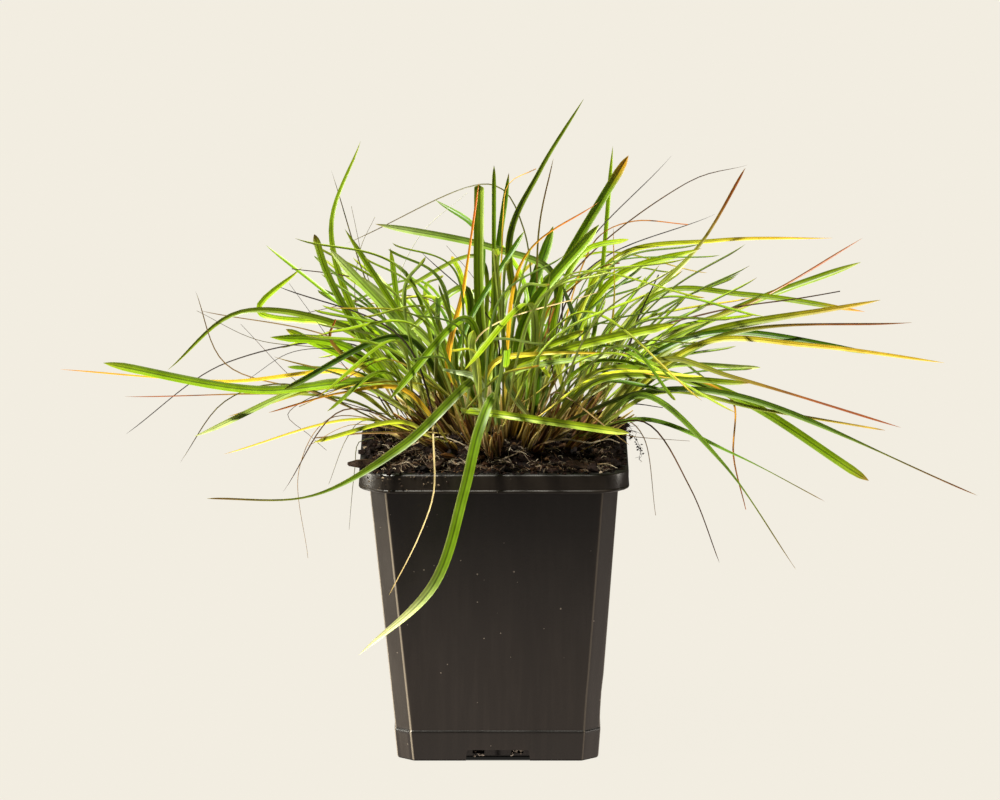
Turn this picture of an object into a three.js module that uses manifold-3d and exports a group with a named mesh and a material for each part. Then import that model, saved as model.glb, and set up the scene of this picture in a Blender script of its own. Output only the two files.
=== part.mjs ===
import * as THREE from "three";
import { mergeVertices } from "three/addons/utils/BufferGeometryUtils.js";
import Module from "manifold-3d";

// Potted blue moor grass in millimetres, +Z up, the foot of the pot on z = 0, its front face towards -Y.

// Pot: a thin moulded square nursery pot
const POT_HEIGHT = 100;
const RIM_SIDE = 90;
const RIM_CORNER = 12;
const SKIRT_DEPTH = 6.3;
const BODY_TOP_SIDE = 82.7;
const BODY_FOOT_SIDE = 66.5;
const BODY_CORNER = 5.4;
const CORNER_STEPS = 5;
const WALL = 1.0;
const FOOT_BAND_HEIGHT = 10.3;
const FOOT_LEDGE = 0.4;
const CHANNEL_HEIGHT = 4.4;
const WELL_SIDE = 56;
const NOTCH_WIDTH = 22.2;
const NOTCH_HEIGHT = 3.9;
const NOTCH_DRAFT = 0.7;
const NOTCH_CORNER = 0.9;
const DRAIN_SPACING = 13;
const DRAIN_WIDTH = 4;
const DRAIN_SILL = 1.4;

// Soil: peat that mounds under the crown, with a hollow in front of it, and spills over the rim at the
// sides and the back
const GAP = 0.3;
const SOIL_EDGE = 99.6;
const SOIL_DEPTH = 12;
const SOIL_CELLS = 12;
const SOIL_MOUND = 3.6;
const MOUND_REACH = 34;
const BANK_HEIGHT = 1.9;
const BANK_FOOT = 33;
const SPILL_HALF = 44.4;
const SPILL_FRONT = -36;
const BANK_FRONT = -24;
const HOLLOW = { x: 13, y: -27, depth: 1.6, spread: 50 };
const CRUMB_COUNT = 22;
const CRUMB_REACH = 38.5;
const EDGE_CRUMBS = 8;
// Larger crumbs along the rim: x, y and size
const RIM_CRUMBS = [[41, 26, 4.2], [43, 33, 3], [41, 18, 3], [33, -40, 2.2], [-24, -40, 2.4], [4, -40, 2]];
const LEFT_CLOD = [-37, -4, 4];
const CHIP_WIDTH = 4.6;
const CHIP_THICKNESS = 1.5;
const BARK_CHIPS = [
  { place: [-42, -33, 101.4], length: 13, turn: 12, lift: -4 },
  { place: [-20, -35, 100.8], length: 11, turn: 60, lift: 12 },
  { place: [28, -33, 100.6], length: 9, turn: -35, lift: -10 },
];

// Tuft: bunches of shoots on the crown, each shoot a rolled sheath that its leaves leave near the top
const CROWN = new THREE.Vector3(3, 4, 0);
const CROWN_RADIUS = 28;
const GREEN_BUNCHES = 17;
const GOLDEN_ANGLE = 137.5;
const SHOOTS = 3;
const SHOOT_RADIUS = 1.5;
const SHOOT_LENGTH = [13, 19];
const STUB_RADIUS = 3.7;
const STUB_TOP = 105;
const STUB_FOOT = 91;
const DRY_RING = 31;
const DRY_ANGLES = [6, 88, 164, 186, 236, 317];
const DRY_SHOOTS = 2;
const DRY_SHOOT_RADIUS = 1.0;
const DRY_SHOOT_LENGTH = [5, 8];
const DRY_STUB_RADIUS = 2.4;
const SHOOT_SPREAD = 0.45;
const SHOOT_SINK = 1.2;
const SHOOT_FLARE = 0.2;
const INNER_LEAN = 8;
const OUTER_LEAN = 46;

// Blades: a shallow V in section, drawn in at the sheath and blunt at the tip
const LEAF_STEP = 20;
const LEAF_KEEL = 0.75;
const THINNEST_HALF = 0.35;
const NECK_WIDTH = 0.35;
const NECK_GROWTH = 3.2;
const TIP_START = 0.8;
const TIP_POWER = 2.2;
const LEAF_LEVELS = [0.93, 0.7, 0.46, 0.25];
const FRONT = new THREE.Vector3(0, -1, 0.35);

// Room that leaves keep to each other and to the pot
const SAMPLE_STEP = 2.5;
const CELL = 5;
const CLEARANCE = 0.75;
const ROOT_ZONE = 20;
const POT_MARGIN = 1.6;
const RIM_MARGIN = 6;
const DEPTH_SHIFTS = [0, 3, -3, 6, -6, 9, -9, 12, -12];

// A place further back looks higher by this share, as the tuft is seen from a little above
const VIEW_RISE = 0.19;

// Loose leaves, and the body of the tuft that they keep to
const FILL_ROUNDS = 9;
const DRY_ROUNDS = 4;
const TRIES = 40;
const GREEN_LENGTH = [45, 125];
const GREEN_WIDTH = [1.6, 3.2];
const DRY_LENGTH = [30, 95];
const DRY_WIDTH = [0.8, 1.6];
const CLIMB = [20, 78];
const DROOP = [4, 34];
const OUTER_FAN = 75;
const INNER_FAN = 138;
const FAN_SHARE = 0.6;
const SIDEWAYS = 0.07;
const TUFT_MIDDLE = 6;
const TUFT_HALF_WIDTH = 84;
const TUFT_TOP = 172;
const TUFT_FRONT = -34;
const POT_CLEAR_TOP = 112;
const SHEATH_FRONT = -12;
const SHEATH_TOP = 120;
const SHEATH_HALF_WIDTH = 42;

// Leaves that make the tuft's outline, chosen one by one and set out in steps of 5 mm: bunch, width, then
// the places each passes after it has left its sheath. Bunches from 17 on are the dry ones.
const KEY_LEAVES = [
  // to the right
  [8, 2.5, [50, 20, 145], [70, 30, 165], [85, 35, 190]],
  [3, 2.0, [40, 25, 160], [75, 35, 165], [115, 40, 165]],
  [3, 2.5, [40, 15, 155], [70, 20, 165]],
  [16, 2.0, [50, 25, 130], [90, 35, 145], [125, 40, 165]],
  [16, 2.5, [50, 35, 125], [85, 50, 140], [125, 50, 155]],
  [8, 2.0, [55, 15, 150], [85, 15, 150], [125, 10, 145]],
  [13, 3.0, [60, 0, 135], [130, 5, 150]],
  [13, 2.0, [75, -10, 140], [140, -10, 145]],
  [5, 2.0, [70, -5, 140], [130, -15, 135]],
  [17, 1.5, [55, 10, 125], [90, 15, 125]],
  [13, 2.0, [70, -20, 140], [105, -25, 140], [150, -30, 135]],
  [10, 3.0, [35, -20, 130], [75, -25, 125], [125, -30, 95]],
  [22, 2.0, [55, -25, 135], [80, -30, 130], [135, -40, 115]],
  [10, 2.0, [50, -30, 125], [80, -35, 125], [160, -55, 95]],
  [22, 1.5, [55, -30, 125], [90, -35, 120], [130, -45, 115]],
  [22, 1.5, [50, -25, 115], [80, -35, 105], [110, -40, 90]],
  [22, 2.0, [50, -35, 125], [75, -45, 105], [100, -55, 70]],
  [22, 1.0, [50, -30, 115], [65, -40, 95], [75, -45, 70]],
  [2, 3.0, [5, -20, 130], [25, -30, 140], [60, -40, 150]],
  [2, 2.5, [5, -15, 130], [30, -25, 145]],
  [7, 2.0, [0, -30, 135], [15, -40, 140], [45, -40, 140]],
  [10, 2.0, [5, -30, 130], [40, -40, 140]],
  [10, 2.0, [35, -35, 130], [85, -40, 130]],
  [7, 2.5, [-10, -35, 120], [5, -45, 120], [45, -50, 115]],
  // upright
  [0, 2.5, [5, 0, 170], [15, -5, 195], [30, -5, 220]],
  [11, 2.5, [20, 25, 155], [0, 20, 165], [-40, 10, 175]],
  [1, 3.5, [-5, 5, 150], [-5, 0, 190]],
  [6, 1.5, [0, 15, 150], [0, 10, 195]],
  [6, 2.0, [0, 25, 150], [5, 25, 190]],
  [0, 3.0, [15, 5, 145], [25, 5, 165], [45, 0, 200]],
  [2, 3.5, [10, -10, 145], [35, -20, 180]],
  [8, 1.5, [35, 15, 145], [40, 20, 200]],
  [3, 1.5, [15, 20, 170], [20, 25, 195]],
  [4, 2.0, [-10, 0, 140], [10, -5, 175]],
  [5, 2.0, [20, -10, 145], [30, -15, 170], [45, -20, 175]],
  [11, 3.5, [10, 30, 135], [20, 35, 170]],
  [7, 2.0, [0, -20, 150], [0, -25, 165]],
  [1, 2.0, [-5, 20, 145], [-5, 20, 170], [-20, 30, 180]],
  [6, 1.5, [-5, 30, 160], [-35, 40, 145]],
  [1, 2.5, [-10, 0, 155], [-30, -5, 140]],
  [9, 2.0, [-30, 15, 135], [-35, 20, 165]],
  [9, 2.5, [-40, 20, 130], [-55, 25, 170], [-45, 30, 200]],
  [12, 2.5, [-35, -5, 125], [-55, -10, 160], [-60, -10, 175]],
  [4, 3.0, [-20, -5, 130], [-55, -10, 170]],
  [4, 2.0, [-25, 0, 135], [-50, 0, 175]],
  [1, 3.0, [-15, 0, 130], [-45, -5, 160]],
  // to the left
  [12, 3.0, [-35, -15, 125], [-80, -25, 125], [-130, -30, 135]],
  [9, 2.5, [-40, 10, 135], [-85, 10, 145], [-110, 10, 125]],
  [14, 2.0, [-40, 30, 135], [-80, 40, 140], [-65, 40, 155]],
  [12, 3.0, [-50, 0, 135], [-75, -10, 140]],
  [9, 2.5, [-40, 5, 125], [-70, 5, 140]],
  [4, 2.0, [-30, -10, 140], [-70, -25, 125]],
  [7, 2.5, [-5, -20, 140], [-10, -30, 150], [-35, -45, 125]],
  [7, 2.0, [-15, -20, 130], [-10, -25, 160], [-5, -25, 195]],
  [7, 3.0, [-5, -30, 130], [-30, -45, 110], [-60, -55, 95], [-95, -60, 95]],
  [15, 3.5, [0, -35, 125], [-5, -45, 115], [-10, -50, 95], [-20, -55, 65], [-45, -50, 40]],
  [21, 1.0, [-20, -35, 115], [-20, -45, 110], [-20, -50, 95], [-25, -50, 80], [-35, -50, 60]],
  [20, 1.5, [-45, 0, 125], [-90, -10, 125], [-145, -15, 130]],
  [12, 2.0, [-50, -10, 125], [-100, -30, 110]],
  [20, 1.5, [-50, 5, 120], [-90, 5, 110]],
  [21, 1.0, [-45, -25, 115], [-90, -35, 105]],
  [20, 1.0, [-50, 10, 115], [-125, 15, 115]],
  [19, 1.0, [-45, 25, 130], [-90, 25, 125], [-125, 25, 100]],
  [21, 1.5, [-30, -25, 125], [-50, -30, 125], [-75, -40, 120]],
  [21, 1.5, [-30, -30, 115], [-60, -40, 110]],
  // thin dry blades
  [9, 1.0, [-40, 25, 145], [-55, 30, 190]],
  [11, 1.0, [10, 30, 170], [0, 30, 185], [-50, 30, 165]],
  [6, 1.0, [0, 10, 140], [-25, 15, 165]],
  [8, 1.0, [25, 20, 155], [60, 30, 195]],
  [5, 1.0, [20, 0, 150], [65, 5, 190], [85, 10, 195]],
  [3, 1.0, [30, 25, 155], [75, 30, 175]],
  [2, 1.5, [10, 0, 165], [35, -5, 185]],
  [8, 1.0, [40, 5, 145], [40, 5, 175]],
  [20, 1.0, [-60, -5, 120], [-90, -5, 130], [-100, -5, 155]],
  [19, 1.0, [-50, 30, 130], [-100, 40, 140]],
  [20, 1.0, [-70, -15, 125], [-90, -20, 120], [-105, -25, 100]],
  [21, 1.0, [-50, -35, 120], [-70, -50, 95]],
  [10, 1.0, [20, -30, 125], [45, -45, 110]],
  [7, 1.0, [-5, -35, 145], [35, -35, 160]],
];

const wasm = await Module();
wasm.setup();

// Small helpers

function vector(place) {
  return new THREE.Vector3(place[0], place[1], place[2]);
}

function degrees(angle) {
  return THREE.MathUtils.degToRad(angle);
}

function seededDraws(seed) {
  let state = 7919 * (seed + 11);
  function draw(low, high) {
    state = (state * 16807) % 2147483647;
    return low + ((high - low) * state) / 2147483647;
  }
  draw(0, 1);
  draw(0, 1);
  return draw;
}

function toSolid(geometry) {
  const plain = new THREE.BufferGeometry();
  plain.setAttribute("position", geometry.getAttribute("position").clone());
  if (geometry.index) {
    plain.setIndex(geometry.index.clone());
  }
  const merged = mergeVertices(plain, 1e-4);
  return new wasm.Manifold(new wasm.Mesh({
    numProp: 3,
    vertProperties: new Float32Array(merged.getAttribute("position").array),
    triVerts: new Uint32Array(merged.index.array),
  }));
}

function toGeometry(solid) {
  const mesh = solid.getMesh();
  const geometry = new THREE.BufferGeometry();
  geometry.setAttribute("position", new THREE.BufferAttribute(new Float32Array(mesh.vertProperties), 3));
  geometry.setIndex(new THREE.BufferAttribute(new Uint32Array(mesh.triVerts), 1));
  return geometry;
}

function fuse(solids) {
  return solids.reduce((whole, solid) => whole.add(solid));
}

// A closed skin over rings of points that run anticlockwise when seen from ahead, ended flat or at a tip
function skin(rings, tip) {
  const points = rings.flat();
  const count = rings[0].length;
  const faces = [];
  for (let ring = 0; ring + 1 < rings.length; ring += 1) {
    for (let i = 0; i < count; i += 1) {
      const a = ring * count + i;
      const b = ring * count + ((i + 1) % count);
      faces.push(a, b, b + count, a, b + count, a + count);
    }
  }
  for (let i = 1; i + 1 < count; i += 1) {
    faces.push(0, i + 1, i);
  }
  const last = (rings.length - 1) * count;
  if (tip) {
    points.push(tip);
    for (let i = 0; i < count; i += 1) {
      faces.push(last + i, last + ((i + 1) % count), points.length - 1);
    }
  } else {
    for (let i = 1; i + 1 < count; i += 1) {
      faces.push(last, last + i, last + i + 1);
    }
  }
  const geometry = new THREE.BufferGeometry().setFromPoints(points);
  geometry.setIndex(faces);
  return geometry;
}

// Pot

// One level of the pot: a square with its corners cut by a chamfer that bows out to a rounding
function squareRing(side, corner, bow, z) {
  const points = [];
  const half = side / 2;
  for (let quarter = 0; quarter < 4; quarter += 1) {
    for (let step = 0; step <= CORNER_STEPS; step += 1) {
      const share = step / CORNER_STEPS;
      const angle = share * Math.PI / 2;
      const flat = new THREE.Vector2(half - corner * share, half - corner * (1 - share));
      const round = new THREE.Vector2(
        half - corner + corner * Math.cos(angle),
        half - corner + corner * Math.sin(angle),
      );
      const place = flat.lerp(round, bow).rotateAround(new THREE.Vector2(), quarter * Math.PI / 2);
      points.push(new THREE.Vector3(place.x, place.y, z));
    }
  }
  return points;
}

function bodySide(z) {
  const share = z / (POT_HEIGHT - SKIRT_DEPTH);
  return BODY_FOOT_SIDE + (BODY_TOP_SIDE - BODY_FOOT_SIDE) * share;
}

function bodyRing(z, offset) {
  return squareRing(bodySide(z) + 2 * offset, BODY_CORNER + 0.6 * offset, 0, z);
}

function outerPot() {
  const skirtFoot = POT_HEIGHT - SKIRT_DEPTH;
  return toSolid(skin([
    bodyRing(0, FOOT_LEDGE),
    bodyRing(FOOT_BAND_HEIGHT, FOOT_LEDGE),
    bodyRing(FOOT_BAND_HEIGHT + 0.4, 0),
    bodyRing(skirtFoot, 0),
    squareRing(RIM_SIDE - 0.6, RIM_CORNER, 1, skirtFoot),
    squareRing(RIM_SIDE, RIM_CORNER, 1, POT_HEIGHT - 0.8),
    squareRing(RIM_SIDE - 1.2, RIM_CORNER - 0.5, 1, POT_HEIGHT),
  ]));
}

// The hollow that the soil fills, drawn in by a margin on every side
function potHollow(margin, top) {
  const floor = CHANNEL_HEIGHT + WALL + margin;
  const bowl = toSolid(skin([bodyRing(floor, -WALL - margin), bodyRing(top, -WALL - margin)]));
  const wellSide = WELL_SIDE - 2 * WALL - 2 * margin;
  const well = new THREE.BoxGeometry(wellSide, wellSide, floor);
  well.translate(0, 0, WALL + margin + floor / 2);
  return bowl.add(toSolid(well));
}

function skirtChannel() {
  const low = POT_HEIGHT - SKIRT_DEPTH - 0.1;
  const high = POT_HEIGHT - WALL;
  const outside = toSolid(skin([
    squareRing(RIM_SIDE - 0.6 - 2 * WALL, RIM_CORNER - WALL, 1, low),
    squareRing(RIM_SIDE - 2 * WALL, RIM_CORNER - WALL, 1, high),
  ]));
  const body = toSolid(skin([bodyRing(low - 1, 0), bodyRing(high + 1, 0)]));
  return outside.subtract(body);
}

function footChannel() {
  const around = toSolid(skin([bodyRing(-1, -WALL), bodyRing(CHANNEL_HEIGHT, -WALL)]));
  const well = new THREE.BoxGeometry(WELL_SIDE, WELL_SIDE, 20);
  return around.subtract(toSolid(well));
}

function notchCut(turn) {
  const outline = new THREE.Shape();
  outline.moveTo(-NOTCH_WIDTH / 2, -1);
  outline.lineTo(NOTCH_WIDTH / 2, -1);
  outline.lineTo(NOTCH_WIDTH / 2 - NOTCH_DRAFT, NOTCH_HEIGHT - NOTCH_CORNER);
  outline.lineTo(NOTCH_WIDTH / 2 - NOTCH_DRAFT - NOTCH_CORNER, NOTCH_HEIGHT);
  outline.lineTo(-NOTCH_WIDTH / 2 + NOTCH_DRAFT + NOTCH_CORNER, NOTCH_HEIGHT);
  outline.lineTo(-NOTCH_WIDTH / 2 + NOTCH_DRAFT, NOTCH_HEIGHT - NOTCH_CORNER);
  const depth = 4 * WALL;
  const cut = new THREE.ExtrudeGeometry(outline, { depth, bevelEnabled: false });
  cut.rotateX(Math.PI / 2);
  cut.translate(0, (depth - bodySide(0)) / 2, 0);
  cut.rotateZ(turn);
  return toSolid(cut);
}

function drainCut(turn, place) {
  const cut = new THREE.BoxGeometry(DRAIN_WIDTH, 3 * WALL, NOTCH_HEIGHT - DRAIN_SILL);
  cut.translate(place, -WELL_SIDE / 2 + WALL / 2, (NOTCH_HEIGHT + DRAIN_SILL) / 2);
  cut.rotateZ(turn);
  return toSolid(cut);
}

function makePot() {
  let pot = outerPot();
  pot = pot.subtract(potHollow(0, POT_HEIGHT + 1));
  pot = pot.subtract(skirtChannel());
  pot = pot.subtract(footChannel());
  for (let side = 0; side < 4; side += 1) {
    const turn = side * Math.PI / 2;
    pot = pot.subtract(notchCut(turn));
    pot = pot.subtract(drainCut(turn, -DRAIN_SPACING / 2));
    pot = pot.subtract(drainCut(turn, DRAIN_SPACING / 2));
  }
  return pot;
}

// Soil

// How far the peat banks up at the sides and the back, from 0 to 1
function bank(x, y) {
  const { smoothstep } = THREE.MathUtils;
  const out = Math.max(Math.abs(x), y);
  return smoothstep(out, BANK_FOOT, CRUMB_REACH) * smoothstep(y, SPILL_FRONT, BANK_FRONT);
}

function soilHeight(x, y) {
  const away = Math.hypot(x - CROWN.x, y - CROWN.y) / MOUND_REACH;
  const mound = SOIL_MOUND * Math.exp(-away * away);
  const hollow = HOLLOW.depth * Math.exp(-((x - HOLLOW.x) ** 2 + (y - HOLLOW.y) ** 2) / HOLLOW.spread);
  const waves = 0.45 * Math.sin(0.41 * x + 1.3) * Math.cos(0.37 * y - 0.6);
  const ripples = 0.35 * Math.sin(0.93 * x - 0.71 * y) + 0.25 * Math.sin(1.31 * y + 0.57 * x + 2);
  return SOIL_EDGE + BANK_HEIGHT * bank(x, y) + mound - hollow + waves + ripples;
}

function soilSlab() {
  const slab = new THREE.BoxGeometry(RIM_SIDE, RIM_SIDE, SOIL_DEPTH, SOIL_CELLS, SOIL_CELLS, 1);
  slab.translate(0, 0, POT_HEIGHT - SOIL_DEPTH / 2);
  const places = slab.getAttribute("position");
  for (let i = 0; i < places.count; i += 1) {
    if (places.getZ(i) > POT_HEIGHT - 1) {
      places.setZ(i, soilHeight(places.getX(i), places.getY(i)));
    }
  }
  return toSolid(slab);
}

function crumb(x, y, size, sink, draw) {
  const lump = size < 2.8 ? new THREE.OctahedronGeometry(size, 0) : new THREE.IcosahedronGeometry(size, 0);
  lump.scale(draw(0.8, 1.3), draw(0.8, 1.2), draw(0.6, 0.9));
  lump.rotateZ(draw(0, 6.28));
  lump.rotateX(draw(-0.5, 0.5));
  lump.translate(x, y, soilHeight(x, y) + sink * size);
  return toSolid(lump);
}

function barkChip({ place, length, turn, lift }) {
  const chip = new THREE.BoxGeometry(length, CHIP_WIDTH, CHIP_THICKNESS);
  chip.rotateY(-degrees(lift));
  chip.rotateZ(degrees(turn));
  chip.translate(place[0], place[1], place[2]);
  return toSolid(chip);
}

// The room over the rim that the spilt peat takes
function spillRoom() {
  const depth = SPILL_HALF - SPILL_FRONT;
  const room = new THREE.BoxGeometry(2 * SPILL_HALF, depth, SOIL_DEPTH);
  room.translate(0, SPILL_FRONT + depth / 2, POT_HEIGHT + GAP + SOIL_DEPTH / 2);
  const round = toSolid(skin([
    squareRing(2 * SPILL_HALF, RIM_CORNER, 1, POT_HEIGHT),
    squareRing(2 * SPILL_HALF, RIM_CORNER, 1, POT_HEIGHT + SOIL_DEPTH),
  ]));
  return toSolid(room).intersect(round);
}

// Soil and chips keep clear of the rim that they hang over
function rimGuard() {
  const low = POT_HEIGHT - SKIRT_DEPTH - 2;
  const high = POT_HEIGHT + GAP;
  const around = toSolid(skin([
    squareRing(RIM_SIDE + 2 * GAP, RIM_CORNER, 1, low),
    squareRing(RIM_SIDE + 2 * GAP, RIM_CORNER, 1, high),
  ]));
  return around.subtract(potHollow(GAP, POT_HEIGHT + 4));
}

function bunchHole(bunch) {
  const hole = new THREE.CylinderGeometry(bunch.radius + GAP + 0.1, bunch.radius + GAP + 0.1, 40, 8);
  hole.rotateX(Math.PI / 2);
  hole.translate(bunch.base.x, bunch.base.y, STUB_FOOT - GAP - 0.1 + 20);
  return toSolid(hole);
}

function makeSoil(bunches) {
  const draw = seededDraws(5);
  const hollow = potHollow(GAP, POT_HEIGHT + 5);
  const low = new THREE.BoxGeometry(2 * RIM_SIDE, 2 * RIM_SIDE, POT_HEIGHT);
  low.translate(0, 0, POT_HEIGHT / 2 - 0.7 * SOIL_DEPTH);
  const below = hollow.intersect(toSolid(low));
  const parts = [below, soilSlab().intersect(hollow.add(spillRoom()))];
  for (let i = 0; i < CRUMB_COUNT; i += 1) {
    const angle = i * degrees(GOLDEN_ANGLE) + 0.4;
    const reach = CRUMB_REACH * Math.sqrt((i + 0.5) / CRUMB_COUNT) * Math.SQRT2;
    const x = THREE.MathUtils.clamp(reach * Math.cos(angle), -CRUMB_REACH, CRUMB_REACH);
    const y = THREE.MathUtils.clamp(reach * Math.sin(angle), -CRUMB_REACH, CRUMB_REACH);
    parts.push(crumb(x, y, draw(1.1, 2.6), 0.25, draw));
  }
  for (let i = 0; i < EDGE_CRUMBS; i += 1) {
    const y = SPILL_FRONT + ((i + 1) * (CRUMB_REACH - SPILL_FRONT)) / EDGE_CRUMBS;
    for (const side of [-1, 1]) {
      const x = side * (CRUMB_REACH + draw(2, 5));
      parts.push(crumb(x, y + draw(-3, 3), draw(1.4, 2.4), 0.1, draw));
    }
  }
  for (const [x, y, size] of RIM_CRUMBS) {
    parts.push(crumb(x, y, size, 0.1, draw));
  }
  const [x, y, size] = LEFT_CLOD;
  parts.push(crumb(x, y, size, 0, draw));
  parts.push(...BARK_CHIPS.map(barkChip));
  let soil = fuse(parts).subtract(rimGuard());
  for (const bunch of bunches) {
    soil = soil.subtract(bunchHole(bunch));
  }
  return largestPiece(soil);
}

function largestPiece(solid) {
  const pieces = solid.decompose();
  pieces.sort((one, other) => other.volume() - one.volume());
  return pieces[0];
}

// Bunches and their shoots

function makeBunch(index) {
  const green = index < GREEN_BUNCHES;
  const draw = seededDraws(100 + index);
  const angle = degrees(green ? index * GOLDEN_ANGLE : DRY_ANGLES[index - GREEN_BUNCHES]);
  const reach = green ? CROWN_RADIUS * Math.sqrt((index + 0.5) / GREEN_BUNCHES) : DRY_RING;
  const outward = new THREE.Vector3(Math.cos(angle), Math.sin(angle), 0);
  const bunch = {
    index, green, draw, angle, outward,
    share: reach / CROWN_RADIUS,
    radius: green ? STUB_RADIUS : DRY_STUB_RADIUS,
    base: CROWN.clone().addScaledVector(outward, reach),
    shoots: [],
    leaves: [],
  };
  const count = green ? SHOOTS : DRY_SHOOTS;
  for (let i = 0; i < count; i += 1) {
    bunch.shoots.push(makeShoot(bunch, (i * 2 * Math.PI) / count + draw(-0.4, 0.4)));
  }
  return bunch;
}

// A shoot leans outward, the more the further out its bunch stands
function makeShoot(bunch, turn) {
  const aside = new THREE.Vector3(Math.cos(turn), Math.sin(turn), 0);
  const foot = bunch.base.clone().addScaledVector(aside, SHOOT_SPREAD * bunch.radius);
  foot.z = STUB_TOP - SHOOT_SINK;
  const lean = Math.tan(degrees(INNER_LEAN + (OUTER_LEAN - INNER_LEAN) * bunch.share));
  const way = new THREE.Vector3(0, 0, 1);
  way.addScaledVector(bunch.outward, lean);
  way.addScaledVector(aside, SHOOT_FLARE);
  way.normalize();
  const length = bunch.draw(...(bunch.green ? SHOOT_LENGTH : DRY_SHOOT_LENGTH));
  const radius = bunch.green ? SHOOT_RADIUS : DRY_SHOOT_RADIUS;
  return { foot, way, radius, leafCount: 0, top: foot.clone().addScaledVector(way, length) };
}

function polygonRing(centre, way, radius, count) {
  const side = new THREE.Vector3(0, 1, 0).cross(way).normalize();
  const rise = way.clone().cross(side);
  const ring = [];
  for (let i = 0; i < count; i += 1) {
    const angle = (i * 2 * Math.PI) / count;
    ring.push(centre.clone().addScaledVector(side, radius * Math.cos(angle))
      .addScaledVector(rise, radius * Math.sin(angle)));
  }
  return ring;
}

function shootSolid(shoot) {
  return toSolid(skin([
    polygonRing(shoot.foot, shoot.way, shoot.radius, 4),
    polygonRing(shoot.top, shoot.way, 0.7 * shoot.radius, 4),
  ]));
}

function stubSolid(bunch) {
  const up = new THREE.Vector3(0, 0, 1);
  return toSolid(skin([
    polygonRing(bunch.base.clone().setZ(STUB_FOOT), up, bunch.radius, 6),
    polygonRing(bunch.base.clone().setZ(STUB_TOP), up, 0.8 * bunch.radius, 6),
  ]));
}

// Leaf paths

// Places along a smooth curve through the points, each stretch cut into steps of about the given length
function smoothPath(points, step) {
  const places = [points[0].clone()];
  const last = points.length - 1;
  for (let i = 0; i < last; i += 1) {
    const b = points[i];
    const c = points[i + 1];
    const a = i > 0 ? points[i - 1] : b.clone().multiplyScalar(2).sub(c);
    const d = i + 1 < last ? points[i + 2] : c.clone().multiplyScalar(2).sub(b);
    const ab = Math.sqrt(a.distanceTo(b));
    const bc = Math.sqrt(b.distanceTo(c));
    const cd = Math.sqrt(c.distanceTo(d));
    const count = Math.max(1, Math.round((bc * bc) / step));
    for (let k = 1; k <= count; k += 1) {
      const t = k / count;
      const place = new THREE.Vector3();
      for (const axis of ["x", "y", "z"]) {
        const leave = bc * ((b[axis] - a[axis]) / ab - (c[axis] - a[axis]) / (ab + bc)
          + (c[axis] - b[axis]) / bc);
        const reach = bc * ((c[axis] - b[axis]) / bc - (d[axis] - b[axis]) / (bc + cd)
          + (d[axis] - c[axis]) / cd);
        const rise = c[axis] - b[axis];
        place[axis] = b[axis] + leave * t + (3 * rise - 2 * leave - reach) * t * t
          + (leave + reach - 2 * rise) * t * t * t;
      }
      places.push(place);
    }
  }
  return places;
}

// Share of the whole length reached at each place
function lengthShares(places) {
  const sums = [0];
  for (let i = 1; i < places.length; i += 1) {
    sums.push(sums[i - 1] + places[i].distanceTo(places[i - 1]));
  }
  return sums.map((sum) => sum / sums[sums.length - 1]);
}

// Nearly even width, drawn in at the sheath, and a blunt tip
function widthShare(share) {
  const neck = Math.min(1, NECK_WIDTH + NECK_GROWTH * share);
  const end = Math.max(0, (share - TIP_START) / (1 - TIP_START));
  return neck * (1 - end ** TIP_POWER);
}

// Each new leaf leaves its shoot higher up than the one before
function leafPoints(shoot, waypoints) {
  const level = LEAF_LEVELS[shoot.leafCount % LEAF_LEVELS.length];
  const root = shoot.foot.clone().lerp(shoot.top, level);
  const aside = waypoints[0].clone().sub(root).setLength(0.5 * shoot.radius);
  return [root.add(aside), ...waypoints];
}

function leafSolid(leaf) {
  const places = smoothPath(leaf.points, LEAF_STEP);
  const shares = lengthShares(places);
  const rings = [];
  let side = new THREE.Vector3();
  for (let i = 0; i + 1 < places.length; i += 1) {
    const way = places[i + 1].clone().sub(places[Math.max(0, i - 1)]).normalize();
    side = leaf.facing.clone().cross(way).addScaledVector(side, 0.4);
    side.addScaledVector(way, -side.dot(way)).normalize();
    const up = way.clone().cross(side);
    const half = Math.max(THINNEST_HALF, 0.5 * leaf.width * widthShare(shares[i]));
    rings.push([
      places[i].clone().addScaledVector(side, half),
      places[i].clone().addScaledVector(side, -half),
      places[i].clone().addScaledVector(up, -LEAF_KEEL),
    ]);
  }
  return toSolid(skin(rings, places[places.length - 1]));
}

// Room between bunches: a store of the balls that leaves and shoots take up, sorted into cells

const taken = new Map();

function cellKey(x, y, z) {
  return `${x},${y},${z}`;
}

function takeRoom(balls, bunch) {
  for (const { place, radius, rooted } of balls) {
    const key = cellKey(Math.floor(place.x / CELL), Math.floor(place.y / CELL), Math.floor(place.z / CELL));
    if (!taken.has(key)) {
      taken.set(key, []);
    }
    taken.get(key).push({ place, radius, rooted, bunch });
  }
}

function meetsOther(ball, bunch) {
  const x = Math.floor(ball.place.x / CELL);
  const y = Math.floor(ball.place.y / CELL);
  const z = Math.floor(ball.place.z / CELL);
  for (let i = x - 1; i <= x + 1; i += 1) {
    for (let j = y - 1; j <= y + 1; j += 1) {
      for (let k = z - 1; k <= z + 1; k += 1) {
        for (const other of taken.get(cellKey(i, j, k)) ?? []) {
          const own = other.bunch === bunch;
          const reach = ball.radius + other.radius + (own ? 0 : CLEARANCE);
          const near = ball.place.distanceToSquared(other.place) < reach * reach;
          if (near && !(own && (ball.rooted || other.rooted))) {
            return true;
          }
        }
      }
    }
  }
  return false;
}

function meetsPot(place) {
  const across = Math.max(Math.abs(place.x), Math.abs(place.y));
  return across < RIM_SIDE / 2 + POT_MARGIN && place.z < POT_HEIGHT + RIM_MARGIN;
}

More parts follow.
